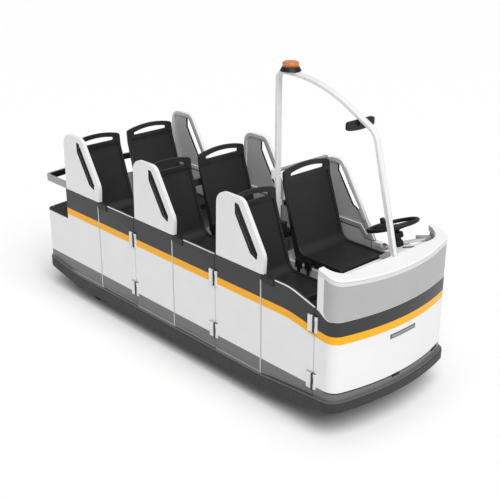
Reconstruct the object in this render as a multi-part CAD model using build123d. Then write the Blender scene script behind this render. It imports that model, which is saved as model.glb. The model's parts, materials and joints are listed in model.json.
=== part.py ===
"""Electric passenger cart with three rows of two seats, six side doors and a bowed front.

Frame: +X forward, +Y to the cart's left, +Z up, origin on the floor under the middle.
All sizes are in millimetres.
"""

import os

from build123d import *

os.makedirs("parts", exist_ok=True)

# Walls and clearances
WALL = 28.0
JOINT_GAP = 5.0
FACE_GAP = 0.3
BORE_PLAY = 0.08
INNER_GAP = 6.0

# Seats across the cart
SEAT_WIDTH = 444.0
SEAT_GAP = 74.0
SEAT_SIDE_GAP = 26.0

# Stretches of the body from its tail to its nose
TAIL_LENGTH = 791.0
ROW_PITCH = 885.5
DOOR_WIDTH = 442.0
FRONT_DOOR_WIDTH = 459.0
NOSE_LENGTH = 243.0
BUMPER_PROUD = 25.0
REAR_PROUD = 12.0
STEP_REACH = 438.5

# Heights above the floor
BUMPER_BOTTOM_Z = 105.0
BUMPER_TOP_Z = 201.0
PANEL_FOOT_Z = 150.0
FLOOR_Z = 300.0
FLOOR_PLATE = 12.0
PLINTH_TOP_Z = 650.0
DECK_Z = 660.0
DECK_LID = 10.0
FRONT_WAIST_Z = 786.0
DOOR_DIP_Z = 835.0
WAIST_Z = 896.0
DASH_Z = 998.0
COWL_REAR_Z = 1096.0
WING_TOP_Z = 1347.0
GUARD_Z = 1338.0
ARCH_TOP_Z = 2023.0

# Body plan: both ends are bowed
FRONT_BOW = 1640.0
REAR_BOW = 2800.0
FRONT_CORNER = 85.0
REAR_CORNER = 45.0
BUMPER_REAR_CORNER = 90.0

# Bumper ramps: the mid stretch is level, both ends rise
RAMP_REAR = 330.0
RAMP_FRONT = 4.0
REAR_RISE_TOP = 60.0
REAR_RISE_BOTTOM = 87.0
FRONT_RISE_TOP = 61.0
FRONT_RISE_BOTTOM = 94.0
BUMPER_WALL = 53.0

# Cowl: its top slopes down to the front
COWL_START = 15.0
COWL_SLOPE = 0.30
COWL_BAND = 40.0
COWL_EDGE = 12.0
COWL_ARM = 45.0
COWL_NOSE = 112.0
WELL_CORNER = 120.0
INSET_START = 64.0
INSET_DEPTH = 4.0
INSET_THICK = 3.0
INSET_CORNER = 60.0
DASH_PLATE = 25.0
KNEE_DROP = 260.0

# Wings: outlines and hand slots in the side view
WING_RIM = 28.0
WING_RECESS = 8.0
WING_FOOT_GAP = 6.0
WING_OUTLINE = [
    # x from the seam, z, corner radius
    (-429, WAIST_Z + WING_FOOT_GAP, 0),
    (-417, WING_TOP_Z, 85),
    (-173, WING_TOP_Z, 75),
    (24, 1020, 90),
    (16, WAIST_Z + WING_FOOT_GAP, 0),
]
WING_SLOT = [
    # x from the seam, z, corner radius
    (-243, 1309, 8),
    (-208, 1302, 9),
    (-35, 1022, 14),
    (-42, 979, 9),
    (-104, 1008, 16),
    (-243, 1232, 8),
]
DRIVER_WING_OUTLINE = [
    # x from the seam, z, corner radius
    (-436, WAIST_Z + WING_FOOT_GAP, 0),
    (-478, WING_TOP_Z, 85),
    (-300, WING_TOP_Z, 80),
    (17, DOOR_DIP_Z + WING_FOOT_GAP, 0),
    (-60, DOOR_DIP_Z + WING_FOOT_GAP, 0),
    (-120, WAIST_Z + WING_FOOT_GAP, 0),
]
DRIVER_SILL_STEP = [
    # x from the seam, z of the panel's top under that wing
    (-122, WAIST_Z),
    (-62, DOOR_DIP_Z),
]
DRIVER_WING_SLOT = [
    # x from the seam, z, corner radius
    (-346, 1310, 8),
    (-320, 1304, 9),
    (-128, 1040, 12),
    (-137, 1010, 9),
    (-200, 1044, 16),
    (-346, 1260, 8),
]

# Seat shell: the rim's front line and the side walls' back line in the side view
SEAT_RIM_LINE = [
    # x from the seam, z, turn radius
    (-398, 1330, 0),
    (-381, 1160, 150),
    (-228, 718, 78),
    (147, 718, 22),
    (155, 665, 0),
]
SEAT_BACK_LINE = [
    # x from the seam, z, turn radius
    (-418, 1330, 0),
    (-404, 1160, 170),
    (-271, 665, 45),
    (155, 665, 0),
]
SEAT_DISH = 8.0
SEAT_SHELL = 10.0
SEAT_RIM = 24.0
SEAT_WALL = 12.0
SEAT_EDGE = 6.0
SEAT_CROWN_Z = 1285.0
SEAT_SHOULDER_Z = 1254.0
SEAT_SHOULDER = 28.0
SEAT_DISH_TOP_Z = 1184.0
SEAT_DISH_CORNER = 40.0
SLOT_HALF = 160.0
SLOT_LOW_Z = 1212.0
SLOT_END_Z = 1234.0
SLOT_CROWN_Z = 1254.0
SLOT_CORNER = 9.0
DRIVER_RAISE = 83.0

# Plinths under the seats
PLINTH_REAR = 438.0
PLINTH_FRONT = 77.0
PLINTH_WALL = 10.0
BULKHEAD = 20.0
BRACKET_REAR = 145.0
BRACKET_FRONT = 60.0
BRACKET_OFFSET = 150.0
BRACKET_WIDTH = 40.0
BATTERY_GAP = 30.0
BATTERY_TOP_GAP = 50.0
BUCKLES = [
    # x from the seam, y
    (-190, -11),
    (-124, 11),
]
BUCKLE_RISE = 140.0
BUCKLE_HEAD = 62.0

# Wheels
TYRE_RADIUS = 200.0
TYRE_WIDTH = 110.0
TYRE_SHOULDER = 22.0
RIM_RADIUS = 125.0
RIM_WIDTH = 90.0
RIM_WALL = 14.0
HUB_RADIUS = 38.0
HUB_BORE = 20.0
FRONT_AXLE_BACK = 180.0
REAR_AXLE_BACK = 222.0
FRONT_WHEEL_GAP = 112.0
REAR_WHEEL_GAP = 42.0
KINGPIN_INSET = 100.0
KINGPIN_RADIUS = 15.0
STEER_ROOM = 262.0
WHEEL_ROOM = 215.0
STEER_ROOM_INNER = 130.0
WHEEL_ROOM_SIDE = 15.0

# Chassis
RAIL_INSET = 125.0
RAIL_HALF = 30.0
RAIL_DROP = 36.0
RAIL_END_GAP = 10.0
RAIL_NOSE_GAP = 96.0
OUTRIGGER_HALF = 25.0
HANGER = 20.0
HANGER_FOOT_Z = 160.0
MOTOR_LENGTH = 138.0
MOTOR_HALF = 70.0
MOTOR_FOOT_Z = 140.0

# Arch over the front row
ARCH_POST_BACK = 412.0
ARCH_SIDE = 44.0
ARCH_DEPTH = 26.0
ARCH_BOW_START = 368.0
ARCH_BEND = 823.0
ARCH_BEND_DROP = 242.0
ARCH_FOOT_REACH = 13.0
BEACON_AHEAD = 104.0
BEACON_FOOT = 26.0
BEACON_FOOT_RADIUS = 69.0
LENS_RADIUS = 53.0
LENS_HEIGHT = 31.0
MIRROR_AHEAD = 677.0
MIRROR_DROP = 223.0
MIRROR_Y = 22.0
MIRROR_WIDTH = 240.0
MIRROR_HEIGHT = 62.0
MIRROR_DEPTH = 25.0

# Rails
DECK_RAIL_INSET = 6.0
DECK_RAIL_THICK = 20.0
DECK_RAIL_HEIGHT = 50.0
GUARD_BACK = 452.0
GUARD_RADIUS = 12.0
ROW_BAR_LOW_Z = 1018.0
ROW_BAR_HEIGHT = 52.0
ROW_BAR_THICK = 20.0

# Steering
WHEEL_AHEAD = 366.0
WHEEL_Y = 265.0
WHEEL_Z = 1121.0
WHEEL_DIAMETER = 340.0
WHEEL_GRIP = 26.0
WHEEL_TILT = 21.0
WHEEL_HUB = 34.0
SPIGOT_RADIUS = 12.0
COLUMN_RADIUS = 30.0
POD_HALF = 75.0

# Doors and hinges
DOOR_LIFT = 10.0
DIP_START = 245.0
DIP_RADIUS = 420.0
LATCH_LENGTH = 92.0
LATCH_START = 25.0
LATCH_DROP = 26.0
LATCH_RISE = 5.0
LATCH_PROUD = 6.0
HINGE_AXIS_OUT = 9.0
HINGE_BARREL = 8.0
HINGE_PIN = 4.0
HINGE_HEIGHT = 107.0
HINGE_ZS = (348.0, 732.0)
LEAF_THICK = 10.0
LEAF_CLEAR = 10.0
DOOR_LEAF = 50.0
BODY_LEAF = 26.0
KNUCKLE_GAP = 0.5

# Places that follow from the sizes above
BODY_WIDTH = SEAT_GAP + 2 * (SEAT_WIDTH + SEAT_SIDE_GAP + WALL)
HALF = BODY_WIDTH / 2
INNER_HALF = HALF - WALL
SEAT_CENTRE_Y = (SEAT_GAP + SEAT_WIDTH) / 2
LENGTH = (REAR_PROUD + TAIL_LENGTH + 2 * ROW_PITCH + FRONT_DOOR_WIDTH + NOSE_LENGTH
          + BUMPER_PROUD)
BODY_REAR_X = -LENGTH / 2 + REAR_PROUD
BODY_FRONT_X = LENGTH / 2 - BUMPER_PROUD
SEAMS = [BODY_REAR_X + TAIL_LENGTH + row * ROW_PITCH for row in range(3)]
HINGE_LINES = [SEAMS[0] + DOOR_WIDTH, SEAMS[1] + DOOR_WIDTH, SEAMS[2] + FRONT_DOOR_WIDTH]
STEP_X = SEAMS[0] - STEP_REACH
COWL_REAR_X = HINGE_LINES[2] + COWL_START
COWL_INNER_X = BODY_FRONT_X - COWL_NOSE
FRONT_AXLE_X = SEAMS[2] - FRONT_AXLE_BACK
REAR_AXLE_X = SEAMS[0] - REAR_AXLE_BACK
FRONT_TRACK = 2 * INNER_HALF - 2 * FRONT_WHEEL_GAP - TYRE_WIDTH
REAR_TRACK = 2 * INNER_HALF - 2 * REAR_WHEEL_GAP - TYRE_WIDTH
KINGPIN_Y = FRONT_TRACK / 2 - KINGPIN_INSET
RAIL_Y = KINGPIN_Y - RAIL_INSET
ARCH_POST_X = SEAMS[2] - ARCH_POST_BACK
ARCH_FOOT_X = COWL_INNER_X + ARCH_FOOT_REACH
BEACON_X = ARCH_POST_X + BEACON_AHEAD
WHEEL_CENTRE = (SEAMS[2] + WHEEL_AHEAD, WHEEL_Y, WHEEL_Z)


def slab(x0, x1, y0, y1, z0, z1):
    """Box between two corners."""
    size = Box(x1 - x0, y1 - y0, z1 - z0)
    return Pos((x0 + x1) / 2, (y0 + y1) / 2, (z0 + z1) / 2) * size


def side_prism(points, y0, y1, radii=None):
    """Prism across the cart whose outline is a list of x, z points."""
    spots = [Vector(x, y0, z) for x, z in points]
    face = make_face(Polyline(spots, close=True))
    solid = extrude(face, amount=y1 - y0, dir=(0, 1, 0))
    for (x, z), radius in zip(points, radii or []):
        if radius:
            near = [e for e in solid.edges().filter_by(Axis.Y)
                    if abs(e.center().X - x) < 0.01 and abs(e.center().Z - z) < 0.01]
            solid = fillet(near, radius)
    return solid


def front_prism(outline, x0, x1):
    """Prism along the cart from a closed outline in the plane across it."""
    return Pos(x0, 0, 0) * extrude(make_face(outline), amount=x1 - x0, dir=(1, 0, 0))


def mirrored(solid):
    """The same piece on the other side of the cart."""
    return mirror(solid, about=Plane.XZ)


def bowed_plan(half, rear, front, rear_bow, front_bow, rear_corner, front_corner):
    """Outline seen from above with straight sides, bowed ends and round corners."""
    rear_edge = rear + rear_bow - (rear_bow ** 2 - half ** 2) ** 0.5
    front_edge = front - front_bow + (front_bow ** 2 - half ** 2) ** 0.5
    outline = Curve() + [
        Line((rear_edge, -half), (front_edge, -half)),
        ThreePointArc((front_edge, -half), (front, 0), (front_edge, half)),
        Line((front_edge, half), (rear_edge, half)),
        ThreePointArc((rear_edge, half), (rear, 0), (rear_edge, -half)),
    ]
    face = make_face(outline)
    face = fillet([v for v in face.vertices() if v.X > 0], front_corner)
    return fillet([v for v in face.vertices() if v.X < rear_edge + 1], rear_corner)


def plan_face(inset):
    """Body outline seen from above, moved inwards by inset."""
    return bowed_plan(HALF - inset, BODY_REAR_X + inset, BODY_FRONT_X - inset,
                      REAR_BOW - inset, FRONT_BOW - inset,
                      max(REAR_CORNER - inset, 8.0), FRONT_CORNER - inset)


def plan_ring(outer_inset, inner_inset, z0, z1):
    """Upright wall between two insets of the body outline."""
    ring = plan_face(outer_inset) - plan_face(inner_inset)
    return Pos(0, 0, z0) * extrude(ring, amount=z1 - z0)


def bumper_line(level, rear_rise, front_rise):
    """x, z points of a line that is level amidships and rises at both ends."""
    return [
        (-LENGTH / 2, level + rear_rise),
        (SEAMS[0] - RAMP_REAR, level),
        (SEAMS[2] + RAMP_FRONT, level),
        (LENGTH / 2, level + front_rise),
    ]


def above_bumper(lift):
    """Everything from the bumper's top line upwards, raised by lift."""
    line = bumper_line(BUMPER_TOP_Z + lift, REAR_RISE_TOP, FRONT_RISE_TOP)
    ceiling = [(LENGTH / 2, WING_TOP_Z), (-LENGTH / 2, WING_TOP_Z)]
    return side_prism(line + ceiling, -BODY_WIDTH, BODY_WIDTH)


def bumper_ring():
    """Ramped bumper that runs all round the foot of the body."""
    def outline(proud, shrink):
        return bowed_plan(HALF + proud, BODY_REAR_X - REAR_PROUD + shrink, BODY_FRONT_X + proud,
                          REAR_BOW - shrink, FRONT_BOW + proud,
                          BUMPER_REAR_CORNER - shrink, FRONT_CORNER + proud)
    ring = outline(BUMPER_PROUD, 0) - outline(BUMPER_PROUD - BUMPER_WALL, BUMPER_WALL)
    ring = extrude(ring, amount=BUMPER_TOP_Z + 2 * FRONT_RISE_BOTTOM)
    top = bumper_line(BUMPER_TOP_Z, REAR_RISE_TOP, FRONT_RISE_TOP)
    bottom = bumper_line(BUMPER_BOTTOM_Z, REAR_RISE_BOTTOM, FRONT_RISE_BOTTOM)
    return ring & side_prism(top + bottom[::-1], -BODY_WIDTH, BODY_WIDTH)


def side_wall(x0, x1, top):
    """One flat stretch of the right-hand side wall."""
    return slab(x0, x1, -HALF, -INNER_HALF, PANEL_FOOT_Z, top)


def side_panels():
    """Fixed panels between the doors on both sides."""
    solids = []
    for hinge, seam in zip(HINGE_LINES[:2], SEAMS[1:]):
        panel = side_wall(hinge + JOINT_GAP / 2, seam - JOINT_GAP / 2, WAIST_Z)
        panel = panel & above_bumper(0)
        left = mirrored(panel)
        if seam == SEAMS[2]:
            step = [(seam + x, z) for x, z in DRIVER_SILL_STEP]
            step += [(seam, DOOR_DIP_Z), (seam, WAIST_Z)]
            left = left - side_prism(step, 0, BODY_WIDTH)
        solids += [panel, left]
    return solids


def rear_body():
    """Rear shell: low under the deck lid, full height from the step forwards."""
    shell = plan_ring(0, WALL, PANEL_FOOT_Z, WAIST_Z) & above_bumper(0)
    keep = side_prism([
        (-LENGTH, 0),
        (SEAMS[0] - JOINT_GAP / 2, 0),
        (SEAMS[0] - JOINT_GAP / 2, WAIST_Z),
        (STEP_X, WAIST_Z),
        (STEP_X, DECK_Z - DECK_LID),
        (-LENGTH, DECK_Z - DECK_LID),
    ], -BODY_WIDTH, BODY_WIDTH)
    return shell & keep


def rear_deck():
    """Luggage deck: a lid flush with the body, and the bulkhead behind the last row."""
    lid = Pos(0, 0, DECK_Z - DECK_LID) * extrude(plan_face(0), amount=DECK_LID)
    lid = lid & slab(-LENGTH, STEP_X - FACE_GAP, -HALF, HALF, 0, DECK_Z)
    bulkhead = slab(STEP_X, STEP_X + BULKHEAD, -INNER_HALF, INNER_HALF, FLOOR_Z, WAIST_Z)
    lip = slab(STEP_X - 2 * FACE_GAP, STEP_X, -INNER_HALF, INNER_HALF,
               DECK_Z - DECK_LID, DECK_Z)
    return lid + lip + bulkhead


def wing(seam, outline, slot):
    """Right-hand wing panel: slotted, with a round outer edge and a recessed inner face."""
    shift = [(seam + x, z) for x, z, _ in outline]
    body = side_prism(shift, -HALF, -INNER_HALF, [r for _, _, r in outline])
    outer = body.faces().sort_by(Axis.Y)[0]
    pocket = offset(outer, amount=-WING_RIM, kind=Kind.INTERSECTION)
    pocket = extrude(pocket, amount=WING_RECESS, dir=(0, 1, 0))
    body = body - Pos(0, WALL - WING_RECESS, 0) * pocket
    hole = [(seam + x, z) for x, z, _ in slot]
    cut = side_prism(hole, -HALF - WALL, -HALF + 2 * WALL, [r for _, _, r in slot])
    foot_front = seam + min(outline[-1][0], 0) - 2 * JOINT_GAP
    foot = slab(shift[0][0] + 2, foot_front, -HALF + 4, -INNER_HALF - 4,
                WAIST_Z, WAIST_Z + WING_FOOT_GAP + 2)
    return body - cut + foot


def wing_panels():
    """Six wing panels; the one beside the driver reaches further down."""
    solids = []
    for seam in SEAMS:
        right = wing(seam, WING_OUTLINE, WING_SLOT)
        left = mirrored(driver_wing()) if seam == SEAMS[2] else mirrored(right)
        solids += [right, left]
    return solids


def driver_wing():
    """Wing beside the driver, drawn on the right-hand side."""
    return wing(SEAMS[2], DRIVER_WING_OUTLINE, DRIVER_WING_SLOT)


def floor_pan():
    """Floor plate with an opening over each wheel."""
    plate = extrude(plan_face(WALL + INNER_GAP), amount=FLOOR_PLATE)
    plate = Pos(0, 0, FLOOR_Z - FLOOR_PLATE) * plate
    front_edge = (FRONT_TRACK - TYRE_WIDTH) / 2 - STEER_ROOM_INNER
    rear_edge = (REAR_TRACK - TYRE_WIDTH) / 2 - WHEEL_ROOM_SIDE
    for axle, reach, inner, outer in (
        (FRONT_AXLE_X, STEER_ROOM, front_edge, INNER_HALF - 2 * INNER_GAP),
        (REAR_AXLE_X, WHEEL_ROOM, rear_edge, rear_edge + TYRE_WIDTH + 2 * WHEEL_ROOM_SIDE),
    ):
        for y0, y1 in ((inner, outer), (-outer, -inner)):
            plate = plate - slab(axle - reach, axle + reach, y0, y1, 0, 2 * FLOOR_Z)
    return plate


def chassis_frame():
    """Two backbone rails with outriggers whose hangers reach the bumper."""
    low, high = TYRE_RADIUS + RAIL_DROP, FLOOR_Z - FLOOR_PLATE
    frame = None
    for y in (-RAIL_Y, RAIL_Y):
        rail = slab(BODY_REAR_X - REAR_PROUD + BUMPER_WALL + RAIL_END_GAP,
                    BODY_FRONT_X - RAIL_NOSE_GAP,
                    y - RAIL_HALF, y + RAIL_HALF, low, high)
        frame = rail if frame is None else frame + rail
    reach = HALF + BUMPER_PROUD - BUMPER_WALL
    stations = [REAR_AXLE_X - STEER_ROOM - 2 * RAIL_HALF, REAR_AXLE_X + WHEEL_ROOM + OUTRIGGER_HALF,
                HINGE_LINES[0], SEAMS[1], FRONT_AXLE_X - STEER_ROOM - 2 * OUTRIGGER_HALF,
                FRONT_AXLE_X + STEER_ROOM + OUTRIGGER_HALF, COWL_REAR_X]
    for x in stations:
        frame = frame + slab(x - OUTRIGGER_HALF, x + OUTRIGGER_HALF, -reach, reach, low, high)
        for y0, y1 in ((-reach, HANGER - reach), (reach - HANGER, reach)):
            frame = frame + slab(x - OUTRIGGER_HALF, x + OUTRIGGER_HALF, y0, y1,
                                 HANGER_FOOT_Z, low)
    return frame


def seat_plinth(seam):
    """Hollow box across the cart under one row, with the seat brackets on top."""
    x0, x1 = max(seam - PLINTH_REAR, STEP_X + BULKHEAD + FACE_GAP), seam + PLINTH_FRONT
    side = INNER_HALF - INNER_GAP
    box = slab(x0, x1, -side, side, FLOOR_Z, PLINTH_TOP_Z)
    if seam == SEAMS[2]:
        box = box + slab(x0, x1, SEAT_GAP / 2 - PLINTH_WALL, side,
                         PLINTH_TOP_Z, PLINTH_TOP_Z + DRIVER_RAISE)
    box = box - slab(x0 + PLINTH_WALL, x1 - PLINTH_WALL, -side + PLINTH_WALL,
                     side - PLINTH_WALL, FLOOR_Z - 1, PLINTH_TOP_Z - PLINTH_WALL)
    pan_z = SEAT_RIM_LINE[2][1] - SEAT_DISH - SEAT_SHELL
    for sign in (-1, 1):
        raised = DRIVER_RAISE if sign > 0 and seam == SEAMS[2] else 0
        for offset_y in (-BRACKET_OFFSET, BRACKET_OFFSET):
            y = sign * SEAT_CENTRE_Y + offset_y
            box = box + slab(seam - BRACKET_REAR, seam + BRACKET_FRONT,
                             y - BRACKET_WIDTH / 2, y + BRACKET_WIDTH / 2,
                             PLINTH_TOP_Z - PLINTH_WALL / 2 + raised, pan_z + raised)
    return box


def beside(points, gap):
    """Chain of x, z points beside another one, at an even gap to its left."""
    shifted = []
    for (x0, z0), (x1, z1) in zip(points, points[1:]):
        run = Vector(x1 - x0, z1 - z0).normalized() * gap
        shifted.append(((x0 - run.Y, z0 + run.X), (x1 - run.Y, z1 + run.X)))
    chain = [shifted[0][0]]
    for first, second in zip(shifted, shifted[1:]):
        (ax, az), (bx, bz) = first
        (cx, cz), (dx, dz) = second
        rx, rz, sx, sz = bx - ax, bz - az, dx - cx, dz - cz
        share = ((cx - ax) * sz - (cz - az) * sx) / (rx * sz - rz * sx)
        chain.append((ax + share * rx, az + share * rz))
    return chain + [shifted[-1][1]]


def seat_crown(half, y, raised):
    """Front view of one seat: straight sides under an arched top with round shoulders."""
    low = SEAT_RIM_LINE[-1][1] - SEAT_SHELL + raised
    shoulder, crown = SEAT_SHOULDER_Z + raised, SEAT_CROWN_Z + raised
    outline = Curve() + [
        Line((0, y - half, low), (0, y + half, low)),
        Line((0, y + half, low), (0, y + half, shoulder)),
        ThreePointArc((0, y + half, shoulder), (0, y, crown), (0, y - half, shoulder)),
        Line((0, y - half, shoulder), (0, y - half, low)),
    ]
    return outline


def seat(seam, y, raised):
    """Moulded shell: two-run back, side walls that deepen downwards, arched grab handle."""
    half = SEAT_WIDTH / 2
    rim = [(seam + x, z + raised) for x, z, _ in SEAT_RIM_LINE]
    rim_radii = [r for _, _, r in SEAT_RIM_LINE]
    back = [(seam + x, z + raised) for x, z, _ in SEAT_BACK_LINE]
    back_radii = [r for _, _, r in SEAT_BACK_LINE]
    # The nose of the shell and the back line share their last point
    shell = side_prism(rim + back[-2::-1], y - half, y + half, rim_radii + back_radii[-2::-1])
    edges = [e for e in shell.edges() if abs(abs(e.center().Y - y) - half) < 0.01]
    shell = fillet(edges, SEAT_EDGE)
    # Dish in front, between the rims and under the handle
    dish = beside(rim, -SEAT_DISH)
    dish_radii = [0, rim_radii[1] + SEAT_DISH, rim_radii[2] + SEAT_DISH, rim_radii[3] - SEAT_DISH, 0]
    front = seam + SEAT_RIM_LINE[-1][0] + SEAT_RIM
    scoop = side_prism(dish + [(front, dish[-1][1]), (front, rim[0][1])],
                       y - half + SEAT_RIM, y + half - SEAT_RIM, dish_radii)
    top = SEAT_DISH_TOP_Z + raised
    window = front_prism(Polyline([
        Vector(0, y - half, rim[-1][1] - SEAT_SHELL), Vector(0, y + half, rim[-1][1] - SEAT_SHELL),
        Vector(0, y + half, top), Vector(0, y - half, top)], close=True), seam - 600, front)
    shell = shell - (scoop & window)
    # Hollow behind, between the side walls
    inner = beside(rim, -SEAT_DISH - SEAT_SHELL)
    inner_radii = [0, rim_radii[1] + SEAT_DISH + SEAT_SHELL, rim_radii[2] + SEAT_DISH + SEAT_SHELL,
                   4, 0]
    behind = seam + SEAT_BACK_LINE[0][0] - SEAT_RIM
    below = rim[-1][1] - SEAT_SHELL
    hollow = side_prism([(x, z) for x, z in inner[:-1]] + [(inner[-1][0], below), (behind, below),
                        (behind, rim[0][1])],
                        y - half + SEAT_WALL, y + half - SEAT_WALL, inner_radii)
    shell = shell - hollow
    mask = front_prism(seat_crown(half, y, raised), seam - 600, front)
    corners = [e for e in mask.edges().filter_by(Axis.X)
               if abs(e.center().Z - SEAT_SHOULDER_Z - raised) < 0.1]
    mask = fillet(corners, SEAT_SHOULDER)
    arc = ThreePointArc((0, y + SLOT_HALF, SLOT_END_Z + raised), (0, y, SLOT_CROWN_Z + raised),
                        (0, y - SLOT_HALF, SLOT_END_Z + raised))
    slot = front_prism(Curve() + [
        Line((0, y - SLOT_HALF, SLOT_LOW_Z + raised), (0, y + SLOT_HALF, SLOT_LOW_Z + raised)),
        Line((0, y + SLOT_HALF, SLOT_LOW_Z + raised), (0, y + SLOT_HALF, SLOT_END_Z + raised)),
        arc,
        Line((0, y - SLOT_HALF, SLOT_END_Z + raised), (0, y - SLOT_HALF, SLOT_LOW_Z + raised)),
    ], seam - 600, seam - 200)
    slot = fillet(slot.edges().filter_by(Axis.X), SLOT_CORNER)
    return (shell & mask) - slot


def cowl_z(x):
    """Height of the cowl's sloping top."""
    return COWL_REAR_Z - COWL_SLOPE * (x - COWL_REAR_X)


def under_cowl(drop):
    """Everything below the cowl's top, lowered by drop."""
    far = LENGTH / 2
    points = [
        (SEAMS[2], 0),
        (far, 0),
        (far, cowl_z(far) - drop),
        (COWL_REAR_X, COWL_REAR_Z - drop),
        (SEAMS[2], COWL_REAR_Z - drop),
    ]
    return side_prism(points, -BODY_WIDTH, BODY_WIDTH)


def behind_cowl():
    """Space that the front body leaves free: the door, and the step up to the cowl."""
    panel_x = HINGE_LINES[2] + JOINT_GAP / 2
    return side_prism([
        (SEAMS[1], 0), (panel_x, 0), (panel_x, DOOR_DIP_Z), (COWL_REAR_X, DOOR_DIP_Z),
        (COWL_REAR_X, 2 * COWL_REAR_Z), (SEAMS[1], 2 * COWL_REAR_Z),
    ], -BODY_WIDTH, BODY_WIDTH)


def inset_outline(gap):
    """Side view of the inset panel, smaller by gap."""
    rear, low = HINGE_LINES[2] + INSET_START + gap, FRONT_WAIST_Z + gap
    points = [(rear, COWL_REAR_Z), (rear, low), (LENGTH / 2, low), (LENGTH / 2, COWL_REAR_Z)]
    return side_prism(points, -BODY_WIDTH, BODY_WIDTH, [0, INSET_CORNER, 0, 0])


def front_body():
    """Bowed front shell, hollow behind, with a step for the inset panel."""
    shell = plan_ring(0, WALL, PANEL_FOOT_Z, COWL_REAR_Z) & above_bumper(0)
    shell = (shell & under_cowl(COWL_BAND) & slab(SEAMS[2], LENGTH, -HALF, HALF, 0, COWL_REAR_Z)
             - behind_cowl())
    step = plan_ring(-1, INSET_DEPTH, PLINTH_TOP_Z, COWL_REAR_Z) & inset_outline(0)
    return shell - step


def front_inset():
    """Thin grey panel let into the upper front."""
    outer = INSET_DEPTH - INSET_THICK
    panel = plan_ring(outer, INSET_DEPTH - FACE_GAP, PLINTH_TOP_Z, COWL_REAR_Z)
    return panel & inset_outline(FACE_GAP) & under_cowl(COWL_BAND + FACE_GAP)


def cowl_rim():
    """Sloping cap round the front: broad across the nose, narrow along the arms."""
    cap = Pos(0, 0, FRONT_WAIST_Z) * extrude(plan_face(0), amount=COWL_REAR_Z - FRONT_WAIST_Z)
    cap = cap & under_cowl(0) & slab(COWL_REAR_X, LENGTH, -HALF, HALF, 0, COWL_REAR_Z)
    edge = [e for e in cap.faces().sort_by(Axis.Z)[-1].edges()
            if e.center().X > COWL_REAR_X + 1]
    cap = fillet(edge, COWL_EDGE)
    well = slab(SEAMS[2], COWL_INNER_X, -HALF + COWL_ARM, HALF - COWL_ARM,
                FRONT_WAIST_Z, 2 * COWL_REAR_Z)
    corners = [e for e in well.edges().filter_by(Axis.Z) if e.center().X > COWL_REAR_X]
    well = fillet(corners, WELL_CORNER)
    return cap - well - under_cowl(COWL_BAND)


def dashboard():
    """Dash tray behind the cowl with a knee panel and the steering pod below it."""
    low = DASH_Z - DASH_PLATE
    tray = Pos(0, 0, low) * extrude(plan_face(WALL + FACE_GAP), amount=DASH_PLATE)
    tray = tray & slab(COWL_REAR_X, LENGTH, -HALF, HALF, 0, COWL_REAR_Z)
    tray = tray & under_cowl(COWL_BAND + FACE_GAP)
    knee_x = COWL_REAR_X + 2 * WALL
    side = INNER_HALF - INNER_GAP
    knee = slab(knee_x, knee_x + INNER_GAP * 2, -side, side, DASH_Z - KNEE_DROP, low)
    wheel_x, wheel_y, _ = WHEEL_CENTRE
    pod = slab(wheel_x + INNER_GAP, knee_x, wheel_y - POD_HALF, wheel_y + POD_HALF,
               DASH_Z - 2 * COLUMN_RADIUS, DASH_Z)
    return tray + knee + pod


def arch_path():
    """Middle line of the arch in the cart's middle plane."""
    bend_z = ARCH_TOP_Z - ARCH_BEND_DROP
    points = [
        (ARCH_POST_X, 0, PLINTH_TOP_Z),
        (ARCH_POST_X, 0, ARCH_TOP_Z),
        (ARCH_POST_X + ARCH_BOW_START, 0, ARCH_TOP_Z),
        (ARCH_POST_X + ARCH_BEND, 0, bend_z),
        (ARCH_FOOT_X, 0, cowl_z(ARCH_FOOT_X) - ARCH_DEPTH),
    ]
    return FilletPolyline(points, radius=[60, 1050, 130])


def arch_tube():
    """Flat-sided tube: upright post, long bow over the row and a raked front leg."""
    section = Plane(origin=(ARCH_POST_X, 0, PLINTH_TOP_Z), x_dir=(1, 0, 0), z_dir=(0, 0, 1))
    tube = sweep(section * RectangleRounded(ARCH_DEPTH, ARCH_SIDE, 8), path=arch_path())
    far = LENGTH / 2
    above = side_prism([
        (SEAMS[1], PLINTH_TOP_Z), (COWL_REAR_X, PLINTH_TOP_Z), (COWL_REAR_X, COWL_REAR_Z),
        (far, cowl_z(far)), (far, 2 * ARCH_TOP_Z), (SEAMS[1], 2 * ARCH_TOP_Z),
    ], -ARCH_SIDE, ARCH_SIDE)
    flange = slab(ARCH_POST_X - ARCH_SIDE / 2, ARCH_POST_X + ARCH_SIDE / 2,
                  -ARCH_SIDE / 2, ARCH_SIDE / 2,
                  PLINTH_TOP_Z, PLINTH_TOP_Z + LEAF_THICK)
    return (tube & above) + flange


def beacon_base():
    """Flared foot under the beacon."""
    foot = ARCH_TOP_Z + ARCH_DEPTH / 2
    return Pos(BEACON_X, 0, foot + BEACON_FOOT / 2) * Cone(
        BEACON_FOOT_RADIUS, LENS_RADIUS + 2, BEACON_FOOT)


def beacon_lens():
    """Low round lens on the beacon's foot."""
    foot = ARCH_TOP_Z + ARCH_DEPTH / 2 + BEACON_FOOT
    lens = Pos(BEACON_X, 0, foot + LENS_HEIGHT / 2) * Cylinder(LENS_RADIUS, LENS_HEIGHT)
    return fillet(lens.edges().sort_by(Axis.Z)[-1], LENS_HEIGHT / 3)


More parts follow.
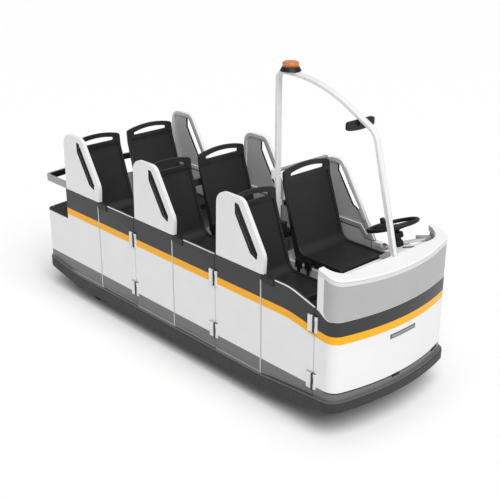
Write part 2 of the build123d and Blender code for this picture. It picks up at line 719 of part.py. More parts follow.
def mirror_head(arch):
    """Wide rear-view mirror hung under the arch by a short bracket."""
    x, z = ARCH_POST_X + MIRROR_AHEAD, ARCH_TOP_Z - MIRROR_DROP
    bracket = slab(x, x + MIRROR_DEPTH, -ARCH_SIDE / 3, ARCH_SIDE / 3, z, z + MIRROR_HEIGHT) - arch
    bracket = bracket.solids().sort_by(Axis.Z)[0]
    half, low = MIRROR_WIDTH / 2, z - MIRROR_HEIGHT / 2
    head = front_prism(Curve() + [
        ThreePointArc((0, -half, low + 12), (0, 0, low), (0, half, low + 12)),
        Line((0, half, low + 12), (0, half, low + MIRROR_HEIGHT)),
        Line((0, half, low + MIRROR_HEIGHT), (0, -half, low + MIRROR_HEIGHT)),
        Line((0, -half, low + MIRROR_HEIGHT), (0, -half, low + 12)),
    ], x - MIRROR_DEPTH / 2, x + MIRROR_DEPTH / 2)
    head = fillet(head.edges().filter_by(Axis.X), 16)
    head = fillet(head.faces().sort_by(Axis.X)[-1].edges(), 8)
    return Pos(0, MIRROR_Y, 0) * head + bracket


def grab_rails(arch, beside_driver):
    """Rail round the luggage deck, bar behind the middle row, guard rail behind the driver."""
    wing_back = WING_OUTLINE[0][0]
    rail = plan_ring(DECK_RAIL_INSET, DECK_RAIL_INSET + DECK_RAIL_THICK,
                     WAIST_Z, WAIST_Z + DECK_RAIL_HEIGHT)
    rail = rail & slab(-LENGTH, SEAMS[0] + wing_back - 2 * FACE_GAP, -HALF, HALF,
                       WAIST_Z, WAIST_Z + DECK_RAIL_HEIGHT)
    bar_x = SEAMS[1] + WING_OUTLINE[1][0] - LEAF_CLEAR
    bar = slab(bar_x, bar_x + ROW_BAR_THICK, -INNER_HALF + FACE_GAP, INNER_HALF - FACE_GAP,
               ROW_BAR_LOW_Z, ROW_BAR_LOW_Z + ROW_BAR_HEIGHT)
    guard_x, side_y = SEAMS[2] - GUARD_BACK, HALF - WALL / 2
    guard = FilletPolyline(
        [(ARCH_POST_X, 0, GUARD_Z), (guard_x, 0, GUARD_Z), (guard_x, side_y, GUARD_Z),
         (guard_x, side_y, GUARD_Z - 4 * GUARD_RADIUS)],
        radius=[2 * GUARD_RADIUS, 1.5 * GUARD_RADIUS])
    plane = Plane(origin=(ARCH_POST_X, 0, GUARD_Z), z_dir=(-1, 0, 0))
    guard = sweep(plane * Circle(GUARD_RADIUS), path=guard)
    guard = (guard - arch - beside_driver).solids().sort_by(lambda s: s.volume)[-1]
    return [rail, bar, guard]


def wheel_plane():
    """Plane of the steering wheel, its normal raked back."""
    return Plane(origin=WHEEL_CENTRE, x_dir=(0, 1, 0),
                 z_dir=Vector(0, 0, 1).rotate(Axis.Y, -WHEEL_TILT))


def steering_wheel():
    """Rim, three spokes and hub."""
    reach = WHEEL_DIAMETER / 2 - WHEEL_GRIP / 2
    wheel = Pos(0, 0, -22) * Cylinder(WHEEL_HUB, 40)
    for angle in (90, 210, 330):
        wheel = wheel + Rot(0, 0, angle) * Pos(reach / 2, 0, -8) * Box(reach, WHEEL_HUB, 10)
    wheel = wheel + Torus(reach, WHEEL_GRIP / 2)
    bore = Pos(0, 0, -32) * Cylinder(SPIGOT_RADIUS + BORE_PLAY, 24)
    return wheel_plane() * (wheel - bore)


def steering_column():
    """Column from the dash up to the wheel's hub."""
    tube = Pos(0, 0, -120) * Cylinder(COLUMN_RADIUS, 150)
    spigot = Pos(0, 0, -38) * Cylinder(SPIGOT_RADIUS, 30)
    column = wheel_plane() * (tube + spigot)
    return column & slab(SEAMS[2], LENGTH, 0, HALF, DASH_Z, 2 * DASH_Z)


def door(row, dips):
    """Right-hand door: panel, latch and the swinging hinge leaves."""
    seam, hinge = SEAMS[row], HINGE_LINES[row]
    x0, x1 = seam + JOINT_GAP / 2, hinge - JOINT_GAP / 2
    top = WAIST_Z
    if dips:
        points = [(x0, PANEL_FOOT_Z), (x1, PANEL_FOOT_Z), (x1, DOOR_DIP_Z),
                  (x0 + DIP_START, WAIST_Z), (x0, WAIST_Z)]
        panel = side_prism(points, -HALF, -INNER_HALF, [0, 0, 0, DIP_RADIUS, 0])
    else:
        top = WAIST_Z if row < 2 else DOOR_DIP_Z
        panel = side_wall(x0, x1, top)
    panel = panel & above_bumper(DOOR_LIFT)
    panel = panel + slab(seam + LATCH_START, seam + LATCH_LENGTH, -HALF - LATCH_PROUD,
                         -INNER_HALF + LATCH_RISE, top - LATCH_DROP, top + LATCH_RISE)
    for z in HINGE_ZS:
        panel = panel + door_leaf(hinge, z)
    return panel


def door_leaf(hinge, z):
    """Swinging half of a hinge: plate, middle knuckle and its bore."""
    third = HINGE_HEIGHT / 3
    axis_y = -HALF - HINGE_AXIS_OUT
    plate = slab(hinge - DOOR_LEAF, hinge - LEAF_CLEAR, -HALF - LEAF_THICK, -HALF,
                 z - HINGE_HEIGHT / 2, z + HINGE_HEIGHT / 2)
    knuckle = Pos(hinge, axis_y, z) * Cylinder(HINGE_BARREL, third - 2 * KNUCKLE_GAP)
    tab = slab(hinge - LEAF_CLEAR, hinge - HINGE_PIN - 1, -HALF - LEAF_THICK, -HALF - 3,
               z - third / 2 + KNUCKLE_GAP, z + third / 2 - KNUCKLE_GAP)
    bore = Pos(hinge, axis_y, z) * Cylinder(HINGE_PIN + BORE_PLAY, HINGE_HEIGHT)
    return (plate + knuckle + tab) - bore


def body_leaf(hinge, z):
    """Fixed half of a hinge: plate, outer knuckles and the pin."""
    third = HINGE_HEIGHT / 3
    axis_y = -HALF - HINGE_AXIS_OUT
    leaf = slab(hinge + LEAF_CLEAR, hinge + BODY_LEAF, -HALF - LEAF_THICK, -HALF,
                z - HINGE_HEIGHT / 2, z + HINGE_HEIGHT / 2)
    for side in (-1, 1):
        middle = z + side * third
        leaf = leaf + Pos(hinge, axis_y, middle) * Cylinder(HINGE_BARREL, third)
        leaf = leaf + slab(hinge + HINGE_PIN + 1, hinge + LEAF_CLEAR, -HALF - LEAF_THICK,
                           -HALF - 3, middle - third / 2, middle + third / 2)
    return leaf + Pos(hinge, axis_y, z) * Cylinder(HINGE_PIN, HINGE_HEIGHT)


def hinge_leaves():
    """Fixed hinge halves of all six doors."""
    solids = []
    for hinge in HINGE_LINES:
        for z in HINGE_ZS:
            leaf = body_leaf(hinge, z)
            solids += [leaf, mirrored(leaf)]
    return solids


def tyre():
    """Low tyre with rounded shoulders, its axle along Y."""
    ring = Cylinder(TYRE_RADIUS, TYRE_WIDTH, rotation=(90, 0, 0))
    ring = fillet(ring.edges(), TYRE_SHOULDER)
    return ring - Cylinder(RIM_RADIUS, 2 * TYRE_WIDTH, rotation=(90, 0, 0))


def rim():
    """Dished rim with a hub bore, its outer face towards -Y."""
    barrel = Cylinder(RIM_RADIUS, RIM_WIDTH, rotation=(90, 0, 0))
    dish = Pos(0, -28, 0) * Cylinder(RIM_RADIUS - RIM_WALL, 60, rotation=(90, 0, 0))
    well = Pos(0, 34, 0) * Cylinder(RIM_RADIUS - RIM_WALL, 40, rotation=(90, 0, 0))
    hub = Cylinder(HUB_RADIUS, RIM_WIDTH - RIM_WALL, rotation=(90, 0, 0))
    disc = (barrel - dish - well) + hub
    return disc - Cylinder(HUB_BORE, 2 * TYRE_WIDTH, rotation=(90, 0, 0))


def stub(y0, y1):
    """Round spindle along Y that a wheel runs on."""
    pin = Cylinder(HUB_BORE - BORE_PLAY, y1 - y0, rotation=(90, 0, 0))
    return Pos(0, (y0 + y1) / 2, 0) * pin


def knuckle():
    """Left steering knuckle: fork round the kingpin, spindle and steering arm."""
    fork = slab(-28, 28, KINGPIN_Y + 28, KINGPIN_Y + 40, -52, 52)
    for z0, z1 in ((-52, -36), (36, 52)):
        fork = fork + slab(-28, 28, KINGPIN_Y - 24, KINGPIN_Y + 40, z0, z1)
    pin = Pos(0, KINGPIN_Y, 0) * Cylinder(KINGPIN_RADIUS - BORE_PLAY, 104)
    arm = slab(-130, -28, KINGPIN_Y - 12, KINGPIN_Y + 12, -52, -40)
    spindle = stub(KINGPIN_Y + 38, FRONT_TRACK / 2 + RIM_WIDTH / 2)
    return Pos(FRONT_AXLE_X, 0, TYRE_RADIUS) * (fork + pin + arm + spindle)


def front_axle():
    """Beam between the kingpins with pads under the rails."""
    beam = slab(-28, 28, -KINGPIN_Y, KINGPIN_Y, -24, 24)
    for side in (-1, 1):
        beam = beam + Pos(0, side * KINGPIN_Y, 0) * Cylinder(24, 64)
        beam = beam + slab(-45, 45, side * RAIL_Y - RAIL_HALF, side * RAIL_Y + RAIL_HALF,
                           0, RAIL_DROP)
        beam = beam - Pos(0, side * KINGPIN_Y, 0) * Cylinder(KINGPIN_RADIUS, 90)
    return Pos(FRONT_AXLE_X, 0, TYRE_RADIUS) * beam


def rear_axle():
    """Axle tube with a middle casing, pads under the rails and wheel spindles."""
    inner = REAR_TRACK / 2 - TYRE_WIDTH / 2 - 12
    tube = Cylinder(28, 2 * inner, rotation=(90, 0, 0))
    casing = fillet(Cylinder(70, TYRE_WIDTH, rotation=(90, 0, 0)).edges(), 20)
    axle = tube + casing & slab(-200, 200, -HALF, HALF, -TYRE_RADIUS, RAIL_DROP)
    for side in (-1, 1):
        axle = axle + slab(-45, 45, side * RAIL_Y - RAIL_HALF, side * RAIL_Y + RAIL_HALF,
                           0, RAIL_DROP)
        spindle = stub(inner - 5, REAR_TRACK / 2 + RIM_WIDTH / 2)
        axle = axle + (spindle if side > 0 else mirrored(spindle))
    return Pos(REAR_AXLE_X, 0, TYRE_RADIUS) * axle


def drive_motor():
    """Motor block ahead of the rear axle casing."""
    x0 = REAR_AXLE_X + MOTOR_HALF + 2
    half = min(MOTOR_HALF, RAIL_Y - RAIL_HALF - INNER_GAP)
    return slab(x0, x0 + MOTOR_LENGTH, -half, half, MOTOR_FOOT_Z, FLOOR_Z - FLOOR_PLATE)


def battery_box():
    """Traction battery inside the middle plinth."""
    side = INNER_HALF - INNER_GAP - PLINTH_WALL - BATTERY_GAP
    return slab(SEAMS[1] - PLINTH_REAR + BATTERY_GAP, SEAMS[1] + PLINTH_FRONT - BATTERY_GAP,
                -side, side, FLOOR_Z, PLINTH_TOP_Z - BATTERY_TOP_GAP)


def belt_buckles():
    """Belt buckle beside every seat, its head on a flat stalk."""
    solids = []
    for seam in SEAMS:
        for x, y in BUCKLES:
            top = PLINTH_TOP_Z + BUCKLE_RISE
            stalk = slab(seam + x - 12, seam + x + 12, y - 3, y + 3, PLINTH_TOP_Z, top)
            head = slab(seam + x - 27, seam + x + 27, y - 9, y + 9, top - BUCKLE_HEAD, top)
            solids.append(stalk + fillet(head.edges().filter_by(Axis.X), 4))
    return solids


def pedals():
    """Toe board with two foot pedals."""
    toe = COWL_REAR_X + FLOOR_PLATE
    rake = 52
    points = [(toe, FLOOR_Z), (toe + 16, FLOOR_Z), (toe + 16 + rake, 420), (toe + rake, 420)]
    board = side_prism(points, RAIL_HALF * 2, INNER_HALF - INNER_GAP - 2)
    for y in (200, 320):
        pad = [(toe, 350), (toe + 8, 346), (toe + 38, 412), (toe + 30, 416)]
        board = board + side_prism(pad, y, y + 60)
        board = board + slab(toe + 13, toe + 40, y + 24, y + 36, 372, 384)
    return board


def write(name, solids):
    """One STEP file for a node."""
    if isinstance(solids, list):
        shape = Compound(children=[s.solid() if not isinstance(s, Solid) else s for s in solids])
    else:
        shape = solids
    shape.label = name
    export_step(shape, f"parts/{name}.step")


def main():
    """Build every node."""
    write("chassis_frame", chassis_frame())
    write("floor_pan", floor_pan())
    write("bumper_ring", bumper_ring())
    write("rear_body", rear_body())
    write("rear_deck", rear_deck())
    write("side_panels", side_panels())
    write("wing_panels", wing_panels())
    write("seat_plinths", [seat_plinth(seam) for seam in SEAMS])
    right = [seat(seam, -SEAT_CENTRE_Y, 0) for seam in SEAMS]
    left = [seat(seam, SEAT_CENTRE_Y, 0) for seam in SEAMS[:2]]
    write("passenger_seats", right + left)
    write("driver_seat", seat(SEAMS[2], SEAT_CENTRE_Y, DRIVER_RAISE))
    write("front_body", front_body())
    write("front_inset", front_inset())
    write("cowl_rim", cowl_rim())
    write("dashboard", dashboard())
    arch = arch_tube()
    write("arch_tube", arch)
    write("beacon_base", beacon_base())
    write("beacon_lens", beacon_lens())
    write("mirror", mirror_head(arch))
    write("grab_rails", grab_rails(arch, mirrored(driver_wing())))
    write("steering_column", steering_column())
    write("steering_wheel", steering_wheel())
    write("hinge_leaves", hinge_leaves())
    write("pedals", pedals())
    write("belt_buckles", belt_buckles())
    write("battery_box", battery_box())
    write("drive_motor", drive_motor())
    write("front_axle", front_axle())
    write("rear_axle", rear_axle())
    write("knuckle_left", knuckle())
    write("knuckle_right", mirrored(knuckle()))
    for row, place in enumerate(("rear", "middle", "front")):
        write(f"door_right_{place}", door(row, dips=row == 2))
        write(f"door_left_{place}", mirrored(door(row, dips=False)))
    for end, x, track in (("front", FRONT_AXLE_X, FRONT_TRACK), ("rear", REAR_AXLE_X, REAR_TRACK)):
        for side, sign in (("left", 1), ("right", -1)):
            spot = Pos(x, sign * track / 2, TYRE_RADIUS)
            turn = Rot(0, 0, 180) if sign > 0 else Rot(0, 0, 0)
            write(f"tyre_{end}_{side}", spot * tyre())
            write(f"rim_{end}_{side}", spot * turn * rim())


if __name__ == "__main__":
    main()
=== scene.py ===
"""Looks of the electric passenger cart: rounded panels, finishes, trim, camera and light."""

import json
import math

import bmesh
import bpy
from mathutils import Matrix, Vector


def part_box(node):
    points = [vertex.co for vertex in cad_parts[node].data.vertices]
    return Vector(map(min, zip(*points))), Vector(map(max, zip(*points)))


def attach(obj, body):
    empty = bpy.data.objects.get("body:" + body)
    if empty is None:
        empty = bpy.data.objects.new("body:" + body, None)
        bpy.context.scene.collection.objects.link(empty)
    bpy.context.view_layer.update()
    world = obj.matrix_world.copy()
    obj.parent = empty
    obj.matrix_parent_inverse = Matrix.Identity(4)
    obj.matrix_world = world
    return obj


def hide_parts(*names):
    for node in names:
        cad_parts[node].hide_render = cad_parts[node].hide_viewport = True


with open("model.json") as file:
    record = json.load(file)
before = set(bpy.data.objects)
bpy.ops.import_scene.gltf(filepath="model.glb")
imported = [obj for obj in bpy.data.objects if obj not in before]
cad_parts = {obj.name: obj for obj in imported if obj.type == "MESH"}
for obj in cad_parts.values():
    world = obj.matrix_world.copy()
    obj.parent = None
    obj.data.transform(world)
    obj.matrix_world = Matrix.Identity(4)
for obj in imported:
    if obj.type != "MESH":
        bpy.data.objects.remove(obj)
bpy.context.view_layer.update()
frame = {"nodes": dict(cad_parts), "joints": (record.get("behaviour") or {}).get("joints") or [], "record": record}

# Camera: solved from the photograph's parallel edges
CAMERA_AZIMUTH = 47.4
CAMERA_ELEVATION = 22.75
CAMERA_SPOT = (4.7920, -4.1867, 3.2935)
CAMERA_LENS = 68.21

# Light: a white room and one wide lamp above the nose, with its width in degrees
ROOM_LIGHT = 0.40
LAMP_FROM = (0.50, -0.20, 0.84)
LAMP_WIDTH = 50.0
LAMP_STRENGTH = 2.5

# Rows, sides and the gaps and walls of the body
ROWS = ("rear", "middle", "front")
SIDES = (("right", -1), ("left", 1))
JOINT_GAP = 0.005
WALL = 0.028

# Places that the frame gives
HALF = -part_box("side_panels")[0].y
INNER_HALF = HALF - WALL
WAIST_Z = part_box("side_panels")[1].z
SEAMS = {row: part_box(f"door_right_{row}")[0].x - JOINT_GAP / 2 for row in ROWS}
JOINTS = {joint["name"]: joint for joint in frame["joints"]}
HINGES = {row: JOINTS[f"door_right_{row}_swing"]["pos_m"][0] for row in ROWS}
NOSE_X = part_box("front_body")[1].x
TAIL_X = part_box("rear_body")[0].x
STEP_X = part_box("rear_deck")[1].x - 0.020

# Heights of the low door tops, the deck and the mirror
DIP_TOP_Z = 0.835
DECK_Z_TOP = 0.660
MIRROR_HEIGHT = 0.062

# Body plan at the nose
NOSE_BOW = 1.640
NOSE_CORNER = 0.085

# Bend in the top edge of the front passenger door: distance from its latch edge, and radius
BEND_FROM_EDGE = 0.245
BEND_RADIUS = 0.420

# Painted bands, with painted shade at the nose's groove and the cowl's crease and edge, and a painted highlight
# along the panels' foot
SILL_Z = 0.313
FOOT_HIGHLIGHT_Z = 0.218
GROOVE_Z = 0.304
GROOVE_X = 1.475
STRIPE_LOW_Z = 0.691
STRIPE_HIGH_Z = 0.743
DIP_START_X = 1.10
DIP_END_X = 1.52
DIP_DEPTH = 0.052
SHOULDER_START_X = 1.384
SHOULDER_END_X = 1.495
SHOULDER_REAR_Z = 0.836
SHOULDER_FRONT_Z = 0.7855
COWL_REAR_X = 1.3975
COWL_REAR_Z = 1.096
COWL_SLOPE = 0.30
COWL_CREASE = 0.010
CREASE_WIDTH = 0.004
CREASE_BLUR = 0.001
TOP_EDGE = 0.004

# How far a face may lie from a plain surface and still count as part of it
FACE_SLACK = 0.0004
LATCH_SLACK = 0.0005
EDGE_SLACK = 0.001

# Recessed liner of the wings, outwards from the inner faces, and the low part of their rim, all greyed as painted
# shade
RIM_DEPTH = 0.0012
LINER_DEPTH = 0.0095
LOW_RIM = 0.075
LOW_RIM_FROM = 0.3

# Latch, hinge and trim sizes
LATCH_START = 0.025
LATCH_END = 0.092
LATCH_DROP = 0.026
COVER_START = 0.005
COVER_END = 0.115
COVER_DROP = 0.040
COVER_RISE = 0.0052
COVER_PROUD = 0.0068
CAP_WIDTH = 0.011
CAP_HEIGHT = 0.0026
CAP_CORNER = 0.0009
CAP_PROUD = 0.0006
CAP_SUNK = 0.0003
CAP_LATCH_GAP = 0.002
CAP_HINGE_GAP = 0.004
SLOPE_END_GAP = 0.0015
BARREL_OUT = 0.009
BARREL_REACH = 0.0095
BARREL_CLEAR = 0.0105
HINGES_BELOW_Z = 0.8
SEAM_STRIP = 0.008
SEAM_PROUD = 0.0008
SEAM_SUNK = 0.003
SEAM_EDGE = 0.0006
SEAM_SHORT = 0.034
SEAM_FOOT_Z = 0.204

# Middle line of the wings' slots, x from the seam
SLOT_LINE = ((-0.225, 1.285), (-0.060, 1.000))
DRIVER_SLOT_LINE = ((-0.330, 1.290), (-0.150, 1.025))
SLOT_REACH = 0.045
DRIVER_SLOT_REACH = 0.032

# Where the rails' dark bar lies behind its seam, and how far the pad reaches from the tail
MIDDLE_BAR_START = 0.47
MIDDLE_BAR_END = 0.35
MIDDLE_BAR_TOP_Z = 1.2
RAIL_PAD_REACH = 0.2

# Widths of the rounded edges
DOOR_EDGE = 0.0012
PANEL_EDGE = 0.0012
TAIL_EDGE = 0.0015
INSET_EDGE = 0.0008
COWL_EDGE = 0.004
WING_EDGE = 0.006
BUMPER_EDGE = 0.005
SEAT_EDGE = 0.0035
RAIL_EDGE = 0.004
FINE_EDGE = 0.002
BOX_EDGE = 0.003

# Nose slots and plate: ends across the nose, their height, and each layer of the plate
NOSE_SLOTS = ((-0.078, -0.012), (0.365, 0.445))
NOSE_SLOT_DROP = 0.009
NOSE_SLOT_SUNK = 0.0015
PLATE_ACROSS = 0.002
PLATE_Z = 0.588
PLATE_SUNK = 0.001
PLATE_LAYERS = (
    # half width, height, how far it stands out
    (0.118, 0.030, 0.0022),
    (0.108, 0.016, 0.0030),
)

# Colours
WHITE = (0.825, 0.825, 0.825)
BAND_GREY = (0.034, 0.034, 0.035)
STRIPE_YELLOW = (0.96, 0.445, 0.008)
SILL_GREY = (0.165, 0.165, 0.165)
# Grey of the panels' inner faces: painted shade on white panels
INNER_SHADE_GREY = (0.55, 0.55, 0.55)
# Grey of the wings' recessed liner: painted shade on white plastic
LINER_SHADE_GREY = (0.56, 0.56, 0.56)
# Light grey for the painted highlight along the panels' foot and the painted shade on the wings' low rim
HIGHLIGHT_AND_SHADE_GREY = (0.42, 0.42, 0.42)
# Grey of the wings' inner rim: painted shade on white plastic
RIM_SHADE_WHITE = (0.66, 0.66, 0.66)
# Greys of the cowl's upright edge and crease: painted shade
CAP_EDGE_SHADE_WHITE = (0.70, 0.70, 0.70)
CREASE_SHADE_GREY = (0.50, 0.50, 0.50)
LENS_FOOT = (0.16, 0.035, 0.006)
LENS_AMBER = (0.90, 0.25, 0.02)
SEAT_BLACK = (0.0145, 0.0145, 0.015)
SILVER = (0.75, 0.77, 0.78)
FLOOR_WHITE = (0.95, 0.95, 0.95)
BLACK = (0.012, 0.012, 0.012)

# Shine of plain and leather-like plastic, and the grain of painted panels
PLAIN_SHINE = 0.32
SEAT_SHINE = 0.42
PAINT_WAVES = 90.0
PAINT_GRAIN = 0.00002

# Heights between which the lens turns from dark brown low down to amber
LENS_FOOT_Z = 2.066
LENS_AMBER_Z = 2.078

# Steering wheel: centre, rake in degrees, rim's thickness and the knob's turn on the rim
WHEEL_SPOT = (1.2895, 0.265, 1.121)
WHEEL_RAKE = 21.0
RIM_THICK = 0.016
KNOB_TURN = 65.0

# Knob on the rim, and the hub pad and column shroud as two corners and a rounding, all in
# the wheel's own plane
KNOB_RADIUS = 0.019
KNOB_HEIGHT = 0.034
KNOB_LIFT = 0.010
KNOB_EDGE = 0.006
HUB_PAD = ((-0.046, -0.078, -0.030), (0.046, 0.026, -0.002), 0.012)
SHROUD = (
    ((-0.038, -0.044, -0.090), (0.034, 0.034, -0.046), 0.014),
    ((-0.034, -0.034, -0.145), (0.026, 0.032, -0.100), 0.012),
)

# Mirror's glass: how far it stands out and is sunk in, and its borders at the sides and foot
GLASS_PROUD = 0.0006
GLASS_SUNK = 0.001
GLASS_BORDER = 0.010
GLASS_FOOT = 0.016

# Half of a tyre's section as (radius, half width), and its blocks and the rim's bolts
TYRE_HALF = (
    (0.1256, 0.046), (0.131, 0.051), (0.142, 0.0545), (0.160, 0.0548),
    (0.176, 0.0530), (0.187, 0.0480), (0.1935, 0.0400), (0.1965, 0.0300),
)
BLOCK_COUNT = 44
BLOCK_IN = 0.188
BLOCK_OUT = 0.1997
BOLT_COUNT = 5
BOLT_RING = 0.062


class Paint:
    """Builds one material's nodes."""

    def __init__(self, name, roughness=0.5, metallic=0.0):
        self.material = bpy.data.materials.new(name)
        self.material.use_nodes = True
        self.tree = self.material.node_tree
        self.shader = self.tree.nodes["Principled BSDF"]
        self.shader.inputs["Roughness"].default_value = roughness
        self.shader.inputs["Metallic"].default_value = metallic
        self.place = self.tree.nodes.new("ShaderNodeTexCoord").outputs["Object"]

    def node(self, kind, **settings):
        """A node with its plain settings."""
        made = self.tree.nodes.new(kind)
        for key, value in settings.items():
            setattr(made, key, value)
        return made

    def link(self, source, socket):
        """Joins a socket, or writes a plain value."""
        if isinstance(source, (int, float)):
            socket.default_value = source
        elif isinstance(source, tuple):
            socket.default_value = source if len(source) == 4 else (*source, 1.0)
        else:
            self.tree.links.new(source, socket)

    def math(self, operation, a, b=0.0):
        """One Math node."""
        made = self.node("ShaderNodeMath", operation=operation)
        self.link(a, made.inputs[0])
        self.link(b, made.inputs[1])
        return made.outputs[0]

    def axes(self):
        """The x, y and z of the surface in the frame."""
        split = self.node("ShaderNodeSeparateXYZ")
        self.link(self.place, split.inputs[0])
        return split.outputs[0], split.outputs[1], split.outputs[2]

    def mix(self, share, a, b):
        """Colour a where share is 0 and b where it is 1."""
        made = self.node("ShaderNodeMix", data_type="RGBA")
        self.link(share, made.inputs[0])
        self.link(a, made.inputs[6])
        self.link(b, made.inputs[7])
        return made.outputs[2]

    def ramp(self, value, start, end, low, high, kind="SMOOTHSTEP"):
        """Value carried from the range start..end to low..high."""
        made = self.node("ShaderNodeMapRange", interpolation_type=kind)
        self.link(value, made.inputs[0])
        for socket, number in zip(made.inputs[1:5], (start, end, low, high)):
            socket.default_value = number
        return made.outputs[0]

    def noise(self, scale, detail=3.0, rough=0.5):
        """Noise between 0 and 1, scale in waves per metre."""
        made = self.node("ShaderNodeTexNoise")
        self.link(self.place, made.inputs["Vector"])
        made.inputs["Scale"].default_value = scale
        made.inputs["Detail"].default_value = detail
        made.inputs["Roughness"].default_value = rough
        return made.outputs["Fac"]

    def cells(self, scale):
        """Distance to the nearest cell's middle, for leather-like grain."""
        made = self.node("ShaderNodeTexVoronoi")
        self.link(self.place, made.inputs["Vector"])
        made.inputs["Scale"].default_value = scale
        return made.outputs["Distance"]

    def relief(self, height, depth):
        """Bump of that depth in metres."""
        made = self.node("ShaderNodeBump")
        made.inputs["Strength"].default_value = 1.0
        made.inputs["Distance"].default_value = depth
        self.link(height, made.inputs["Height"])
        self.tree.links.new(made.outputs[0], self.shader.inputs["Normal"])

    def shade(self, colour, spread, scale=9.0):
        """The colour with slow, faint changes from place to place."""
        drift = self.ramp(self.noise(scale, 4.0), 0.3, 0.7, 1.0 - spread, 1.0, "LINEAR")
        made = self.node("ShaderNodeMix", data_type="RGBA", blend_type="MULTIPLY")
        made.inputs[0].default_value = 1.0
        self.link(colour, made.inputs[6])
        self.tree.links.new(drift, made.inputs[7])
        return made.outputs[2]

    def colour(self, source):
        """Sets the surface colour."""
        self.link(source, self.shader.inputs["Base Color"])

    def sheen(self, low, high, scale=35.0):
        """Roughness that drifts between low and high."""
        self.link(self.ramp(self.noise(scale, 4.0), 0.3, 0.7, low, high, "LINEAR"),
                  self.shader.inputs["Roughness"])

    def shine(self, level):
        """Strength of the mirror-like reflection, the same all over."""
        self.shader.inputs["Specular IOR Level"].default_value = level

    def lacquer(self, low, high):
        """Painted panel's surface: gloss drift, the faintest grain and a plain shine."""
        self.sheen(low, high)
        self.relief(self.noise(PAINT_WAVES, 2.0), PAINT_GRAIN)
        self.shine(PLAIN_SHINE)


def moulded(name, colour, gloss, grain_scale, grain_depth, spread=0.05, metallic=0.0):
    """Plastic, paint or rubber: faint shade drift, gloss drift and fine grain."""
    paint = Paint(name, gloss, metallic)
    paint.colour(paint.shade(colour, spread))
    paint.sheen(gloss - 0.05, gloss + 0.06)
    paint.shine(PLAIN_SHINE)
    fine = paint.noise(grain_scale, 2.0)
    coarse = paint.noise(grain_scale / 9.0, 3.0)
    paint.relief(paint.math("ADD", fine, paint.math("MULTIPLY", coarse, 0.6)), grain_depth)
    return paint.material


def leathered(name, colour, gloss, scale, depth):
    """Moulded shell with a pebbled grain and faint rubbing marks."""
    paint = Paint(name, gloss)
    rubbed = paint.ramp(paint.noise(3.0, 5.0, 0.6), 0.45, 0.75, 0.0, 0.35, "LINEAR")
    paint.colour(paint.mix(rubbed, colour, tuple(1.6 * c for c in colour)))
    paint.sheen(gloss - 0.07, gloss + 0.09, 14.0)
    paint.shine(SEAT_SHINE)
    pebbles = paint.cells(scale)
    paint.relief(paint.math("ADD", pebbles, paint.math("MULTIPLY", paint.noise(scale), 0.5)), depth)
    return paint.material


def body_paint():
    """White panels with grey sill, yellow stripe and dark band; painted shade in black at the nose's groove and in
    grey on the inner faces, and a painted highlight in light grey along the foot.
    """
    paint = Paint("body_paint", 0.3)
    x, y, z = paint.axes()
    out = paint.math("ABSOLUTE", y)
    level = paint.math("ADD", z, paint.ramp(x, DIP_START_X, DIP_END_X, 0.0, DIP_DEPTH))
    above_low = paint.math("GREATER_THAN", level, STRIPE_LOW_Z)
    above_high = paint.math("GREATER_THAN", level, STRIPE_HIGH_Z)
    above_sill = paint.math("GREATER_THAN", z, SILL_Z)
    # Painted shade: black for the shaded groove under the white nose
    groove_shade = paint.math("MULTIPLY", paint.math("GREATER_THAN", z, GROOVE_Z),
                        paint.math("GREATER_THAN", x, GROOVE_X))
    shoulder = paint.ramp(x, SHOULDER_START_X, SHOULDER_END_X, SHOULDER_REAR_Z, SHOULDER_FRONT_Z)
    behind = paint.math("LESS_THAN", x, SHOULDER_START_X)
    banded = paint.math("MAXIMUM", paint.math("LESS_THAN", z, shoulder), behind)
    dark = paint.math("MULTIPLY", above_high, banded)
    lower = paint.mix(groove_shade, SILL_GREY, BLACK)
    panel = paint.mix(above_sill, lower, WHITE)
    yellow = paint.math("SUBTRACT", above_low, above_high)
    panel = paint.mix(yellow, panel, STRIPE_YELLOW)
    panel = paint.mix(dark, panel, BAND_GREY)
    # Painted shade: the inner faces below the top edge are greyed, the far front ones stay white
    inside = paint.math("LESS_THAN", out, INNER_HALF + FACE_SLACK)
    inside = paint.math("MULTIPLY", inside, paint.math("LESS_THAN", x, SHOULDER_START_X))
    under_top = paint.math("LESS_THAN", z, WAIST_Z - TOP_EDGE)
    inside = paint.math("MULTIPLY", inside, under_top)
    ahead_of_step = paint.math("GREATER_THAN", x, STEP_X)
    inside = paint.math("MULTIPLY", inside, ahead_of_step)
    far_front = paint.math("MULTIPLY", paint.math("GREATER_THAN", x, SEAMS["front"]),
                           paint.math("GREATER_THAN", y, 0.0))
    panel = paint.mix(inside, panel, paint.mix(far_front, INNER_SHADE_GREY, WHITE))
    # Painted highlight: a light grey line along the foot of the panels, just above the bumper
    foot = paint.math("LESS_THAN", z, FOOT_HIGHLIGHT_Z)
    panel = paint.mix(paint.math("MULTIPLY", foot, behind), panel, HIGHLIGHT_AND_SHADE_GREY)
    paint.colour(paint.shade(panel, 0.025, 6.0))
    paint.lacquer(0.28, 0.36)
    return paint.material


